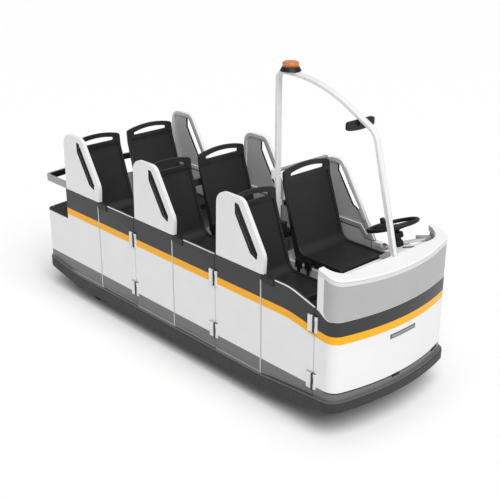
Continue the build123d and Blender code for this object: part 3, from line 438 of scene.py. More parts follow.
def cowl_paint():
    """White cap; its upright edge is greyer below a fine grey line at the crease, both painted shade."""
    paint = Paint("cowl_white", 0.3)
    x, _, z = paint.axes()
    top = paint.math("MULTIPLY", paint.math("SUBTRACT", x, COWL_REAR_X), -COWL_SLOPE)
    below = paint.math("SUBTRACT", paint.math("ADD", top, COWL_REAR_Z), z)
    # Painted shade: the upright edge greyed below the crease, and a darker line at the crease itself
    edge = paint.ramp(below, COWL_CREASE - CREASE_BLUR, COWL_CREASE + CREASE_BLUR, 0.0, 1.0)
    crease_end = COWL_CREASE + CREASE_WIDTH
    fading = paint.ramp(below, crease_end - CREASE_BLUR, crease_end + CREASE_BLUR, 1.0, 0.0)
    crease_shade = paint.math("MULTIPLY", edge, fading)
    outer = paint.math("GREATER_THAN", x, COWL_REAR_X + TOP_EDGE)
    colour = paint.mix(paint.math("MULTIPLY", edge, outer), WHITE, CAP_EDGE_SHADE_WHITE)
    colour = paint.mix(paint.math("MULTIPLY", crease_shade, outer), colour, CREASE_SHADE_GREY)
    paint.colour(paint.shade(colour, 0.02, 6.0))
    paint.lacquer(0.28, 0.36)
    return paint.material


def wing_paint():
    """White outside; the recessed inner face is painted mid grey and its rim a paler grey, greyer low down:
    painted shade on white plastic.
    """
    paint = Paint("wing_paint", 0.34)
    x, y, z = paint.axes()
    out = paint.math("ABSOLUTE", y)
    liner = paint.math("LESS_THAN", out, INNER_HALF + LINER_DEPTH)
    rim = paint.math("LESS_THAN", out, INNER_HALF + RIM_DEPTH)
    facing = paint.node("ShaderNodeNewGeometry").outputs["Normal"]
    split = paint.node("ShaderNodeSeparateXYZ")
    paint.link(facing, split.inputs[0])
    flat = paint.math("GREATER_THAN", paint.math("ABSOLUTE", split.outputs[1]), 0.8)
    # Painted shade: the recessed inner face, its rim and the rim's low part are greyed
    recess_shade = paint.math("MULTIPLY", paint.math("MULTIPLY", liner, flat),
                        paint.math("SUBTRACT", 1.0, rim))
    colour = paint.mix(recess_shade, WHITE, LINER_SHADE_GREY)
    low_rim_shade = paint.math("MULTIPLY", paint.math("LESS_THAN", z, WAIST_Z + LOW_RIM),
                         paint.math("GREATER_THAN", x, SEAMS["middle"] + LOW_RIM_FROM))
    rim_colour = paint.mix(low_rim_shade, RIM_SHADE_WHITE, HIGHLIGHT_AND_SHADE_GREY)
    colour = paint.mix(paint.math("MULTIPLY", rim, flat), colour, rim_colour)
    paint.colour(paint.shade(colour, 0.03, 5.0))
    paint.lacquer(0.3, 0.38)
    return paint.material


def lens_finish():
    """Amber lens, dark brown towards the bottom."""
    paint = Paint("amber_lens", 0.15)
    z = paint.axes()[2]
    rise = paint.ramp(z, LENS_FOOT_Z, LENS_AMBER_Z, 0.0, 1.0)
    paint.colour(paint.mix(rise, LENS_FOOT, LENS_AMBER))
    paint.sheen(0.12, 0.2)
    paint.relief(paint.noise(160.0, 2.0), 0.0002)
    paint.shader.inputs["Transmission Weight"].default_value = 0.25
    paint.shader.inputs["Coat Weight"].default_value = 0.4
    return paint.material


def mirror_glass():
    """Silvered glass."""
    paint = Paint("mirror_glass", 0.04, 1.0)
    paint.colour(paint.shade(SILVER, 0.04, 3.0))
    paint.sheen(0.02, 0.07)
    return paint.material


FINISHES = {}


def make_finishes():
    """Every finish of the cart by its name."""
    table = [
        # name, colour, gloss, grain waves per metre, grain depth in metres
        ("bumper_grey", (0.036, 0.036, 0.036), 0.55, 260.0, 0.0001),
        ("ledge_lit_grey", (0.150, 0.150, 0.150), 0.5, 260.0, 0.00008),
        ("inset_grey", (0.44, 0.44, 0.44), 0.38, 90.0, 0.00002),
        ("light_grey", (0.52, 0.52, 0.52), 0.5, 120.0, 0.00003),
        ("floor_grey", (0.11, 0.11, 0.11), 0.75, 160.0, 0.0003),
        ("deck_black", (0.022, 0.022, 0.022), 0.62, 200.0, 0.0003),
        ("trim_black", (0.012, 0.012, 0.012), 0.42, 300.0, 0.00008),
        ("wheel_black", (0.012, 0.012, 0.012), 0.5, 400.0, 0.0001),
        ("arch_white", WHITE, 0.32, 90.0, 0.00002),
        ("shell_white", WHITE, 0.32, 90.0, 0.00002),
        ("rail_grey", (0.36, 0.36, 0.365), 0.38, 120.0, 0.00003),
        ("bar_dark", (0.05, 0.05, 0.05), 0.5, 120.0, 0.00003),
        ("hinge_white", (0.80, 0.80, 0.80), 0.3, 120.0, 0.00002),
        ("hinge_gap_shade", (0.04, 0.04, 0.04), 0.5, 120.0, 0.00002),
        ("strip_grey", (0.66, 0.66, 0.66), 0.35, 120.0, 0.00002),
        ("black_steel", (0.02, 0.02, 0.02), 0.5, 200.0, 0.0003),
        ("battery_grey", (0.10, 0.10, 0.105), 0.5, 400.0, 0.0002),
        ("tyre_rubber", (0.016, 0.016, 0.016), 0.8, 350.0, 0.0004),
        ("rim_grey", (0.42, 0.42, 0.43), 0.35, 300.0, 0.0001),
        ("bolt_steel", (0.45, 0.45, 0.46), 0.3, 500.0, 0.00005),
        ("slot_shade", (0.030, 0.030, 0.030), 0.6, 120.0, 0.00003),
        ("plate_dark", (0.09, 0.095, 0.10), 0.4, 500.0, 0.00008),
        ("plate_light", (0.30, 0.31, 0.32), 0.4, 500.0, 0.00008),
        ("button_orange", (0.75, 0.13, 0.02), 0.35, 500.0, 0.00005),
        ("shadow_black", BLACK, 0.6, 500.0, 0.0001),
    ]
    for name, colour, gloss, waves, depth in table:
        metallic = 0.85 if name == "bolt_steel" else 0.0
        FINISHES[name] = moulded(name, colour, gloss, waves, depth, metallic=metallic)
    FINISHES["seat_black"] = leathered("seat_black", SEAT_BLACK, 0.44, 420.0, 0.00015)
    FINISHES["cowl_white"] = cowl_paint()
    FINISHES["body_white"] = body_paint()
    FINISHES["wing_white"] = wing_paint()
    FINISHES["amber_lens"] = lens_finish()
    FINISHES["mirror_glass"] = mirror_glass()
    FINISHES["tyre"] = FINISHES["tyre_rubber"]


def dress_nodes():
    """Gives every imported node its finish."""
    slots = {part["node"]: part["material_slot"] for part in frame["record"]["subparts"]}
    for name, obj in frame["nodes"].items():
        obj.data.materials.clear()
        obj.data.materials.append(FINISHES[slots[name]])


def add_piece(name, shape, finishes, body, nodes=()):
    """A finished piece from its mesh work: smooth faces, finishes, body and what it stands for."""
    mesh = bpy.data.meshes.new(name)
    shape.to_mesh(mesh)
    shape.free()
    for face in mesh.polygons:
        face.use_smooth = True
    for finish in finishes:
        mesh.materials.append(FINISHES[finish])
    piece = bpy.data.objects.new(name, mesh)
    bpy.context.collection.objects.link(piece)
    even_normals(piece)
    if nodes:
        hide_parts(*nodes)
    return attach(piece, body)


def even_normals(piece):
    """Shading that keeps flat faces flat beside rounded edges."""
    steady = piece.modifiers.new("even", "WEIGHTED_NORMAL")
    steady.keep_sharp = True
    bpy.context.view_layer.update()
    graph = bpy.context.evaluated_depsgraph_get()
    done = bpy.data.meshes.new_from_object(piece.evaluated_get(graph))
    piece.modifiers.clear()
    done.name = piece.name
    piece.data = done


def merged(*nodes):
    """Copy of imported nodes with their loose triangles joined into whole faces."""
    shape = bmesh.new()
    for node in nodes:
        shape.from_mesh(frame["nodes"][node].data)
    bmesh.ops.remove_doubles(shape, verts=shape.verts, dist=0.00002)
    bmesh.ops.dissolve_limit(shape, angle_limit=math.radians(0.3), verts=shape.verts,
                             edges=shape.edges)
    return shape


def round_edges(shape, width, corner=50.0, steps=3, only=None):
    """Rounds the edges of a mesh that turn by more than corner degrees."""
    edges = [edge for edge in shape.edges
             if len(edge.link_faces) == 2 and edge.calc_face_angle(0.0) > math.radians(corner)
             and (only is None or only(edge))]
    bmesh.ops.bevel(shape, geom=edges, offset=width, offset_type="OFFSET", segments=steps,
                    profile=0.5, affect="EDGES", clamp_overlap=True, loop_slide=True)


def mark(shape, index, test):
    """Gives the faces that pass the test of middle and normal that finish of the piece."""
    for face in shape.faces:
        if test(face.calc_center_median(), face.normal):
            face.material_index = index


def soften(name, nodes, width, finishes, body, slot, only=None, corner=50.0, steps=3, marks=()):
    """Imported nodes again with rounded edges, as one piece in their place."""
    shape = merged(*nodes)
    for index, test in marks:
        mark(shape, index, test)
    if width:
        round_edges(shape, width, corner, steps, only)
    return add_piece(name, shape, finishes, body, nodes)


def block(low, high, rounding, steps=3):
    """Box between two corners with rounded edges."""
    shape = bmesh.new()
    bmesh.ops.create_cube(shape, size=1.0)
    low, high = Vector(low), Vector(high)
    for vert in shape.verts:
        vert.co = Vector(low[i] + (vert.co[i] + 0.5) * (high[i] - low[i]) for i in range(3))
    least = min(high[i] - low[i] for i in range(3))
    bmesh.ops.bevel(shape, geom=list(shape.edges), offset=min(rounding, 0.45 * least),
                    offset_type="OFFSET", segments=steps, profile=0.5, affect="EDGES",
                    clamp_overlap=True)
    return shape


def joined(shapes):
    """Several mesh works as one."""
    whole = bmesh.new()
    for shape in shapes:
        part = bpy.data.meshes.new("part")
        shape.to_mesh(part)
        shape.free()
        whole.from_mesh(part)
        bpy.data.meshes.remove(part)
    return whole


def tinted(shape, index):
    """The same mesh work with all its faces in one finish."""
    for face in shape.faces:
        face.material_index = index
    return shape


def strip(path, profile):
    """Profile of (outward, up) points carried along a path, outward to the right of travel."""
    shape = bmesh.new()
    upright = Vector((0, 0, 1))
    rings = []
    for i, spot in enumerate(path):
        ahead = path[min(i + 1, len(path) - 1)] - path[max(i - 1, 0)]
        out = ahead.cross(upright).normalized()
        rise = out.cross(ahead).normalized()
        rings.append([shape.verts.new(spot + out * a + rise * b) for a, b in profile])
    for first, second in zip(rings, rings[1:]):
        for i in range(len(profile)):
            k = (i + 1) % len(profile)
            shape.faces.new((first[i], first[k], second[k], second[i]))
    shape.faces.new(rings[0][::-1])
    shape.faces.new(rings[-1])
    bmesh.ops.recalc_face_normals(shape, faces=shape.faces)
    return shape


def rounded_section(width, height, corner, steps=3):
    """Section with round corners, its middle at the origin."""
    points = []
    for turn in range(4):
        sx, sy = ((1, 1), (-1, 1), (-1, -1), (1, -1))[turn]
        cx, cy = sx * (width / 2 - corner), sy * (height / 2 - corner)
        for step in range(steps + 1):
            angle = math.radians(90.0 * (turn + step / steps))
            points.append((cx + corner * math.cos(angle), cy + corner * math.sin(angle)))
    return points


def lathe(profile, steps=64):
    """Closed ring of (radius, along) points turned about the Z axis."""
    shape = bmesh.new()
    rings = []
    for step in range(steps):
        angle = 2 * math.pi * step / steps
        c, s = math.cos(angle), math.sin(angle)
        rings.append([shape.verts.new((r * c, r * s, h)) for r, h in profile])
    for step in range(steps):
        first, second = rings[step], rings[(step + 1) % steps]
        for i in range(len(profile)):
            k = (i + 1) % len(profile)
            shape.faces.new((first[i], second[i], second[k], first[k]))
    bmesh.ops.remove_doubles(shape, verts=shape.verts, dist=0.000005)
    bmesh.ops.recalc_face_normals(shape, faces=shape.faces)
    return shape


def moved(shape, matrix):
    """The same mesh work in another place."""
    bmesh.ops.transform(shape, matrix=matrix, verts=shape.verts)
    return shape


def nose_point(across):
    """Place on the nose's plan outline for a distance across the cart."""
    centre_x = NOSE_X - NOSE_BOW
    inner = NOSE_BOW - NOSE_CORNER
    turn_y = HALF - NOSE_CORNER
    turn_x = centre_x + (inner ** 2 - turn_y ** 2) ** 0.5
    share = abs(across)
    if share <= turn_y * NOSE_BOW / inner:
        return Vector((centre_x + (NOSE_BOW ** 2 - share ** 2) ** 0.5, across, 0.0))
    side = min(share - turn_y, NOSE_CORNER)
    return Vector((turn_x + (NOSE_CORNER ** 2 - side ** 2) ** 0.5, across, 0.0))


def on_driver_door(row, side):
    """True for the driver's door, which is low along its whole top and has a white latch."""
    return (row, side) == ("front", "left")


def door_top(row, side):
    """Height of a door's top edge at its latch."""
    return DIP_TOP_Z if on_driver_door(row, side) else WAIST_Z


def on_latch(row, top):
    """Test for faces of a door's latch cap."""
    start = SEAMS[row] + LATCH_START - EDGE_SLACK
    end = SEAMS[row] + LATCH_END + EDGE_SLACK

    def test(spot, normal):
        side = abs(spot.y)
        within = start < spot.x < end and spot.z > top - LATCH_DROP - EDGE_SLACK
        above = spot.z > top + LATCH_SLACK
        outside = side > HALF + LATCH_SLACK
        inside = side < INNER_HALF - LATCH_SLACK
        return within and (above or outside or inside)
    return test


def on_leaf(spot, normal):
    """Test for faces of a hinge leaf."""
    return abs(spot.y) > HALF + FACE_SLACK and spot.z < HINGES_BELOW_Z


def on_barrel(spot, normal):
    """Test for faces of a hinge barrel."""
    away = min(abs(spot.x - HINGES[row]) for row in ROWS)
    reach = math.hypot(away, abs(spot.y) - HALF - BARREL_OUT)
    return reach < BARREL_REACH and spot.z < HINGES_BELOW_Z


def off_barrel(edge):
    """Test for edges that aren't part of a hinge barrel."""
    return all(min(abs(vert.co.x - HINGES[row]) for row in ROWS) > BARREL_CLEAR
               or abs(vert.co.y) < HALF - EDGE_SLACK for vert in edge.verts)


def doors():
    """Six doors with rounded edges, latch caps and covers, white leaves, and hinge barrels painted dark as the
    shade of the hinge gap.
    """
    for row in ROWS:
        for side, sign in SIDES:
            name = f"door_{side}_{row}"
            top = door_top(row, side)
            latch = "hinge_white" if on_driver_door(row, side) else "trim_black"
            # Painted shade: the hinge barrels are dark where the hinge gap lies in shade
            soften(f"{name}_shell", [name], DOOR_EDGE,
                   ["body_white", latch, "hinge_white", "hinge_gap_shade"],
                   f"{name}_panel", "body_white", steps=2, only=off_barrel,
                   marks=((1, on_latch(row, top)), (2, on_leaf), (3, on_barrel)))
            door_trim(name, row, side, sign)
            y0, y1 = sorted((sign * (HALF - EDGE_SLACK), sign * (HALF + COVER_PROUD)))
            cover = block((SEAMS[row] + COVER_START, y0, top - COVER_DROP),
                          (SEAMS[row] + COVER_END, y1, top + COVER_RISE), BOX_EDGE)
            add_piece(f"{name}_latch", cover, [latch], f"{name}_panel")


def top_line(row, side):
    """Points along the outer top edge of a door, from its latch to its hinge."""
    start, end = SEAMS[row] + COVER_END + CAP_LATCH_GAP, HINGES[row] - CAP_HINGE_GAP
    if row != "front":
        return [(start, WAIST_Z), (end, WAIST_Z)]
    if side == "left":
        return [(start, DIP_TOP_Z), (end, DIP_TOP_Z)]
    bend = SEAMS[row] + JOINT_GAP / 2 + BEND_FROM_EDGE
    slope = (DIP_TOP_Z - WAIST_Z) / (HINGES[row] - JOINT_GAP / 2 - bend)
    reach = BEND_RADIUS * math.tan(math.atan(-slope) / 2)
    run = math.cos(math.atan(slope)) * reach
    first, last = (bend - reach, WAIST_Z), (bend + run, WAIST_Z + run * slope)
    arc = []
    for i in range(11):
        t = i / 10
        a, b, c = (1 - t) ** 2, 2 * t * (1 - t), t ** 2
        x = a * first[0] + b * bend + c * last[0]
        z = a * first[1] + b * WAIST_Z + c * last[1]
        arc.append((x, z))
    end_z = DIP_TOP_Z + slope * (SLOPE_END_GAP - CAP_HINGE_GAP)
    return [(start, WAIST_Z)] + arc + [(end, end_z)]


def door_trim(name, row, side, sign):
    """White bead along a door's top edge."""
    section = rounded_section(CAP_WIDTH, CAP_HEIGHT, CAP_CORNER)
    y = sign * (HALF - CAP_WIDTH / 2 + CAP_PROUD)
    path = [Vector((x, y, z + CAP_HEIGHT / 2 - CAP_SUNK)) for x, z in top_line(row, side)]
    add_piece(f"{name}_trim", strip(path, section), ["hinge_white"], f"{name}_panel")


def seam_strips():
    """Thin light strips on the fixed panels beside the latch seams: the panels' white edges in the seams, partly a
    painted highlight.
    """
    strips = []
    for row in ROWS:
        for side, sign in SIDES:
            top = door_top(row, side) - SEAM_SHORT
            y0, y1 = sorted((sign * (HALF - SEAM_SUNK), sign * (HALF + SEAM_PROUD)))
            x1 = SEAMS[row] - JOINT_GAP / 2 + FACE_SLACK
            low, high = (x1 - SEAM_STRIP, y0, SEAM_FOOT_Z), (x1, y1, top)
            strips.append(block(low, high, SEAM_EDGE, 2))
    add_piece("seam_strips", joined(strips), ["strip_grey"], "cart")


def in_slot(spot, normal):
    """Test for the walls of a wing's slot."""
    if abs(normal.y) > 0.5:
        return False
    for row in ROWS:
        driver = row == "front" and spot.y > 0
        (x0, z0), (x1, z1) = DRIVER_SLOT_LINE if driver else SLOT_LINE
        start = Vector((SEAMS[row] + x0, 0, z0))
        along = Vector((x1 - x0, 0, z1 - z0))
        here = Vector((spot.x, 0, spot.z)) - start
        share = max(0.0, min(1.0, here.dot(along) / along.length_squared))
        if (here - share * along).length < (DRIVER_SLOT_REACH if driver else SLOT_REACH):
            return True
    return False


def above_wing_foot(edge):
    """Test for edges of a wing above the foot that it stands on."""
    high = all(vert.co.z > DIP_TOP_Z + 0.010 for vert in edge.verts)
    foot_top = WAIST_Z + 0.0085
    return high and not abs(edge.verts[0].co.z - foot_top) < EDGE_SLACK


def faces_up(spot, normal):
    """Test for faces that look upwards."""
    return normal.z > 0.6


def soft_shell(node, width, finishes, slot, **choices):
    """One of the cart's fixed nodes again with rounded edges, as a shell in its place."""
    return soften(f"{node}_shell", [node], width, finishes, "cart", slot, **choices)


def panels():
    """Fixed body panels with rounded edges."""
    soft_shell("side_panels", PANEL_EDGE, ["body_white"], "body_white", steps=2)
    soft_shell("rear_body", TAIL_EDGE, ["body_white"], "body_white", steps=2)
    soft_shell("front_body", PANEL_EDGE, ["body_white"], "body_white", steps=2)
    soft_shell("front_inset", INSET_EDGE, ["inset_grey"], "inset_grey", steps=2)
    soft_shell("cowl_rim", COWL_EDGE, ["cowl_white"], "body_white")
    # Painted shade: the walls of the wings' slots are nearly black
    soft_shell("wing_panels", WING_EDGE, ["wing_white", "slot_shade"], "wing_white",
               only=above_wing_foot, marks=((1, in_slot),))
    # Painted light: the bumper's upward faces are painted lighter than its other faces
    soften("bumper_shell", ["bumper_ring"], BUMPER_EDGE, ["bumper_grey", "ledge_lit_grey"], "cart",
           "bumper_grey", marks=((1, faces_up),))


def seats():
    """Moulded seats with rounded rims."""
    soft_shell("passenger_seats", SEAT_EDGE, ["seat_black"], "seat_black")
    soft_shell("driver_seat", SEAT_EDGE, ["seat_black"], "seat_black")


def nose_path(start, end, count, out, z):
    """Points along the nose between two distances across it, moved out from its surface."""
    path = []
    for i in range(count + 1):
        point = nose_point(start + (end - start) * i / count)
        path.append(Vector((point.x + out, point.y, z)))
    return path


def nose_trim():
    """Dark slots under the white nose and the blank plate on it."""
    section = rounded_section(0.010, 0.020, 0.003)
    slots = []
    for start, end in NOSE_SLOTS:
        path = nose_path(start, end, 8, -NOSE_SLOT_SUNK, SILL_Z - NOSE_SLOT_DROP)
        slots.append(strip(path, section))
    add_piece("nose_slots", joined(slots), ["shadow_black"], "cart")
    layers = []
    for index, (half, high, proud) in enumerate(PLATE_LAYERS):
        path = nose_path(PLATE_ACROSS - half, PLATE_ACROSS + half, 16, proud / 2 - PLATE_SUNK,
                         PLATE_Z)
        layer = strip(path, rounded_section(proud + 2 * PLATE_SUNK, high, 0.001))
        layers.append(tinted(layer, index))
    add_piece("nose_plate", joined(layers), ["plate_dark", "plate_light"], "cart")


def post_brackets():
    """Two small brackets on the arch's post and the dark block low on it."""
    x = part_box("arch_tube")[0].x
    half = 0.022
    shapes = [
        block((x + 0.004, -half - 0.026, 1.305), (x + 0.024, -half + 0.002, 1.372), 0.005),
        block((x + 0.006, half - 0.002, 1.104), (x + 0.030, half + 0.016, 1.144), 0.004),
        tinted(block((x + 0.030, -half, 0.930), (x + 0.100, half, 1.012), 0.008), 1),
    ]
    add_piece("post_brackets", joined(shapes), ["arch_white", "trim_black"], "cart")


def arch():
    """Arch tube with even shading."""
    soft_shell("arch_tube", 0.0, ["arch_white"], "arch_white")


def on_middle_bar(spot, normal):
    """Test for faces of the bar behind the middle row."""
    start, end = SEAMS["middle"] - MIDDLE_BAR_START, SEAMS["middle"] - MIDDLE_BAR_END
    return start < spot.x < end and spot.z < MIDDLE_BAR_TOP_Z


def on_rail_pad(spot, normal):
    """Test for the inner side of the deck rail's back."""
    return spot.x < TAIL_X + RAIL_PAD_REACH and abs(normal.z) < 0.5 and normal.x > 0.5


def rails():
    """Deck rail with a dark inner pad, dark bar behind the middle row, grey guard rail."""
    soft_shell("grab_rails", RAIL_EDGE, ["rail_grey", "bar_dark", "trim_black"], "rail_grey",
               marks=((1, on_middle_bar), (2, on_rail_pad)))


def stud(spot, radius, height, sides=24):
    """Round or six-sided head standing on a spot."""
    shape = bmesh.new()
    bmesh.ops.create_cone(shape, cap_ends=True, segments=sides, radius1=radius,
                          radius2=0.82 * radius, depth=height)
    return moved(shape, Matrix.Translation(Vector(spot) + Vector((0, 0, height / 2))))


def dash_fittings():
    """Levers, switch block and button on the dash tray, and the stud on the deck."""
    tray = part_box("dashboard")[1].z
    pale, grey, black, orange = range(4)

    def bar(start, end, width, height, corner, finish):
        """Straight bar between two spots, each given as x, y and its lift from the tray."""
        path = [Vector((x, y, tray + lift)) for x, y, lift in (start, end)]
        return tinted(strip(path, rounded_section(width, height, corner)), finish)
    shapes = [
        bar((1.350, 0.290, 0.012), (1.405, 0.440, 0.014), 0.034, 0.012, 0.004, pale),
        bar((1.364, 0.415, 0.016), (1.425, 0.482, 0.016), 0.050, 0.022, 0.006, grey),
        bar((1.388, 0.252, 0.003), (1.452, 0.345, 0.003), 0.009, 0.006, 0.002, black),
        tinted(block((1.388, 0.018, tray - 0.001), (1.428, 0.104, tray + 0.016), 0.005), grey),
        tinted(block((1.350, 0.110, tray - 0.001), (1.380, 0.170, tray + 0.010), 0.004), pale),
        tinted(stud((1.335, 0.160, tray - 0.001), 0.008, 0.012), orange),
    ]
    finishes = ["strip_grey", "rail_grey", "trim_black", "button_orange"]
    add_piece("dash_fittings", joined(shapes), finishes, "cart")
    add_piece("deck_stud", stud((-1.563, -0.492, DECK_Z_TOP - EDGE_SLACK), 0.006, 0.005),
              ["bolt_steel"], "cart")


def steering():
    """Wheel with its hub pad and knob, and the shroud round the column below it."""
    rake = math.radians(WHEEL_RAKE)
    c, s = math.cos(rake), math.sin(rake)
    x, y, z = WHEEL_SPOT
    plane = Matrix(((0, -c, -s, x), (1, 0, 0, y), (0, -s, c, z), (0, 0, 0, 1)))
    low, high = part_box("steering_wheel")
    reach = (high.y - low.y) / 2 - RIM_THICK
    turn = math.radians(KNOB_TURN)
    knob_spot = (reach * math.cos(turn), reach * math.sin(turn), KNOB_LIFT)
    knob = stud(knob_spot, KNOB_RADIUS, KNOB_HEIGHT)
    round_edges(knob, KNOB_EDGE)
    pad = block(*HUB_PAD)
    soften("steering_wheel_shell", ["steering_wheel"], 0.0, ["wheel_black"], "hand_wheel",
           "wheel_black")
    add_piece("wheel_pad", moved(joined([knob, pad]), plane), ["wheel_black"], "hand_wheel")
    shroud = joined([block(*part) for part in SHROUD])
    add_piece("column_shroud", moved(shroud, plane), ["trim_black"], "cart")


def ring_tree():
    """Node tree that turns Count copies of a piece evenly about Z and gives them a finish."""
    tree = bpy.data.node_groups.new("ring_of", "GeometryNodeTree")
    sockets = tree.interface
    sockets.new_socket(name="Geometry", in_out="INPUT", socket_type="NodeSocketGeometry")
    sockets.new_socket(name="Count", in_out="INPUT", socket_type="NodeSocketInt")
    sockets.new_socket(name="Finish", in_out="INPUT", socket_type="NodeSocketMaterial")
    sockets.new_socket(name="Geometry", in_out="OUTPUT", socket_type="NodeSocketGeometry")
    new, link = tree.nodes.new, tree.links.new
    inlet, outlet = new("NodeGroupInput"), new("NodeGroupOutput")
    line = new("GeometryNodeMeshLine")
    line.inputs["Offset"].default_value = (0.0, 0.0, 0.0)
    link(inlet.outputs["Count"], line.inputs["Count"])
    share = new("ShaderNodeMath")
    share.operation = "DIVIDE"
    share.inputs[0].default_value = 2 * math.pi
    link(inlet.outputs["Count"], share.inputs[1])
    angle = new("ShaderNodeMath")
    angle.operation = "MULTIPLY"
    link(new("GeometryNodeInputIndex").outputs[0], angle.inputs[0])
    link(share.outputs[0], angle.inputs[1])
    turn = new("ShaderNodeCombineXYZ")
    link(angle.outputs[0], turn.inputs[2])
    copies = new("GeometryNodeInstanceOnPoints")
    link(line.outputs[0], copies.inputs["Points"])
    link(inlet.outputs["Geometry"], copies.inputs["Instance"])
    link(turn.outputs[0], copies.inputs["Rotation"])
    real = new("GeometryNodeRealizeInstances")
    link(copies.outputs[0], real.inputs[0])
    finish = new("GeometryNodeSetMaterial")
    link(real.outputs[0], finish.inputs["Geometry"])
    link(inlet.outputs["Finish"], finish.inputs["Material"])
    link(finish.outputs[0], outlet.inputs[0])
    return tree


def on_axle(centre):
    """Matrix that lays a shape made about Z along a wheel's axle, which runs along Y."""
    x, y, z = centre
    return Matrix(((1, 0, 0, x), (0, 0, 1, y), (0, -1, 0, z), (0, 0, 0, 1)))


def ring_of(tree, name, shape, count, finish, centre, body):
    """Copies of a shape set round a wheel's axle through centre."""
    mesh = bpy.data.meshes.new(name)
    shape.to_mesh(mesh)
    shape.free()
    piece = bpy.data.objects.new(name, mesh)
    bpy.context.collection.objects.link(piece)
    sockets = {item.name: item.identifier for item in tree.interface.items_tree
               if item.in_out == "INPUT"}
    ring = piece.modifiers.new("ring", "NODES")
    ring.node_group = tree
    ring[sockets["Count"]] = count
    ring[sockets["Finish"]] = FINISHES[finish]
    bpy.context.view_layer.update()
    graph = bpy.context.evaluated_depsgraph_get()
    done = bpy.data.meshes.new_from_object(piece.evaluated_get(graph))
    piece.modifiers.clear()
    done.name = name
    done.transform(on_axle(centre))
    piece.data = done
    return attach(piece, body)


def tread_blocks():
    """One pair of tread blocks, the second set a little further round than the first."""
    return joined([
        block((BLOCK_IN, -0.009, -0.044), (BLOCK_OUT, 0.004, -0.003), 0.001, 1),
        block((BLOCK_IN, -0.004, 0.003), (BLOCK_OUT, 0.009, 0.044), 0.001, 1),
    ])


def rim_bolt(sign):
    """One six-sided bolt head on the outer face of a wheel on that side."""
    bolt = stud((0, 0, -0.001), 0.008, 0.009, 6)
    if sign < 0:
        bolt = moved(bolt, Matrix.Rotation(math.pi, 4, "X"))
    return moved(bolt, Matrix.Translation((BOLT_RING, 0.0, -sign * 0.002)))


def wheels():
    """Tyres with tread blocks, and rims with a ring of bolts."""
    tree = ring_tree()
    profile = [(r, -h) for r, h in TYRE_HALF] + [(r, h) for r, h in TYRE_HALF[::-1]]
    for end in ("front", "rear"):
        for side, sign in SIDES:
            name, body = f"{end}_{side}", f"wheel_{end}_{side}"
            low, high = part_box(f"tyre_{name}")
            centre = (low + high) / 2
            tyre = moved(lathe(profile, 96), on_axle(centre))
            add_piece(f"tyre_{name}_shell", tyre, ["tyre_rubber"], body, [f"tyre_{name}"])
            ring_of(tree, f"tread_{name}", tread_blocks(), BLOCK_COUNT, "tyre_rubber", centre,
                    body)
            soften(f"rim_{name}_shell", [f"rim_{name}"], FINE_EDGE, ["rim_grey"], body, "rim_grey")
            ring_of(tree, f"bolts_{name}", rim_bolt(sign), BOLT_COUNT, "bolt_steel", centre,
                    body)


def mirror_face():
    """Silvered glass on the side that faces the driver."""
    low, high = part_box("mirror")
    near = (low.x - GLASS_PROUD, low.y + GLASS_BORDER, low.z + GLASS_FOOT)
    far = (low.x + GLASS_SUNK, high.y - GLASS_BORDER, low.z + MIRROR_HEIGHT - GLASS_BORDER)
    glass = block(near, far, 0.0006, 1)
    add_piece("mirror_pane", glass, ["mirror_glass"], "cart")


def on_deck_front(spot, normal):
    """Test for the forward face of the rear deck."""
    return normal.x > 0.9 and spot.x > STEP_X - 0.05


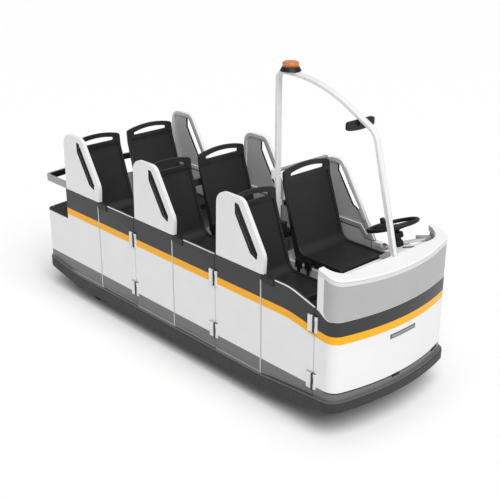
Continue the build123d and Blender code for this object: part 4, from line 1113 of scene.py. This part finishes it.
def tubes_and_trim():
    """Other rigid nodes that show, with rounded edges."""
    soft_shell("rear_deck", FINE_EDGE, ["deck_black", "shell_white"], "deck_black",
               marks=((1, on_deck_front),))
    soft_shell("seat_plinths", BOX_EDGE, ["light_grey"], "light_grey", steps=2)
    soft_shell("mirror", FINE_EDGE, ["trim_black"], "trim_black", steps=2)
    soft_shell("dashboard", BOX_EDGE, ["shell_white"], "light_grey", steps=2)
    soft_shell("belt_buckles", FINE_EDGE, ["trim_black"], "trim_black", steps=2)
    # Painted shade: dark hinge barrels
    soft_shell("hinge_leaves", DOOR_EDGE, ["hinge_white", "hinge_gap_shade"], "hinge_white", steps=2,
               only=off_barrel, marks=((1, on_barrel),))
    soft_shell("pedals", FINE_EDGE, ["black_steel"], "black_steel", steps=2)


def studio():
    """Floor, light and camera."""
    mesh = bpy.data.meshes.new("studio_floor")
    mesh.from_pydata([(-30, -30, 0), (30, -30, 0), (30, 30, 0), (-30, 30, 0)], [], [(0, 1, 2, 3)])
    floor = bpy.data.objects.new("studio_floor", mesh)
    bpy.context.collection.objects.link(floor)
    mesh.materials.append(moulded("studio_floor", FLOOR_WHITE, 0.9, 20.0, 0.0001, 0.01))
    world = bpy.data.worlds.new("studio")
    bpy.context.scene.world = world
    world.use_nodes = True
    tree = world.node_tree
    room = tree.nodes["Background"]
    room.inputs[0].default_value = (1, 1, 1, 1)
    path = tree.nodes.new("ShaderNodeLightPath")
    level = tree.nodes.new("ShaderNodeMapRange")
    tree.links.new(path.outputs["Is Camera Ray"], level.inputs[0])
    level.inputs[3].default_value = ROOM_LIGHT
    level.inputs[4].default_value = 1.0
    tree.links.new(level.outputs[0], room.inputs[1])
    light = bpy.data.lights.new("lamp_top", "SUN")
    light.angle = math.radians(LAMP_WIDTH)
    light.energy = LAMP_STRENGTH
    lamp = bpy.data.objects.new("lamp_top", light)
    lamp.rotation_euler = (-Vector(LAMP_FROM)).to_track_quat("-Z", "Y").to_euler()
    bpy.context.collection.objects.link(lamp)
    data = bpy.data.cameras.new("camera")
    data.lens = CAMERA_LENS
    data.sensor_width = 36.0
    camera = bpy.data.objects.new("camera", data)
    camera.location = CAMERA_SPOT
    a, e = math.radians(CAMERA_AZIMUTH), math.radians(CAMERA_ELEVATION)
    look = Vector((-math.sin(a) * math.cos(e), math.cos(a) * math.cos(e), -math.sin(e)))
    camera.rotation_euler = look.to_track_quat("-Z", "Y").to_euler()
    bpy.context.collection.objects.link(camera)
    bpy.context.scene.camera = camera
    bpy.context.scene.view_settings.view_transform = "Standard"


make_finishes()
dress_nodes()
doors()
seam_strips()
panels()
seats()
nose_trim()
post_brackets()
arch()
rails()
dash_fittings()
steering()
wheels()
mirror_face()
tubes_and_trim()
studio()
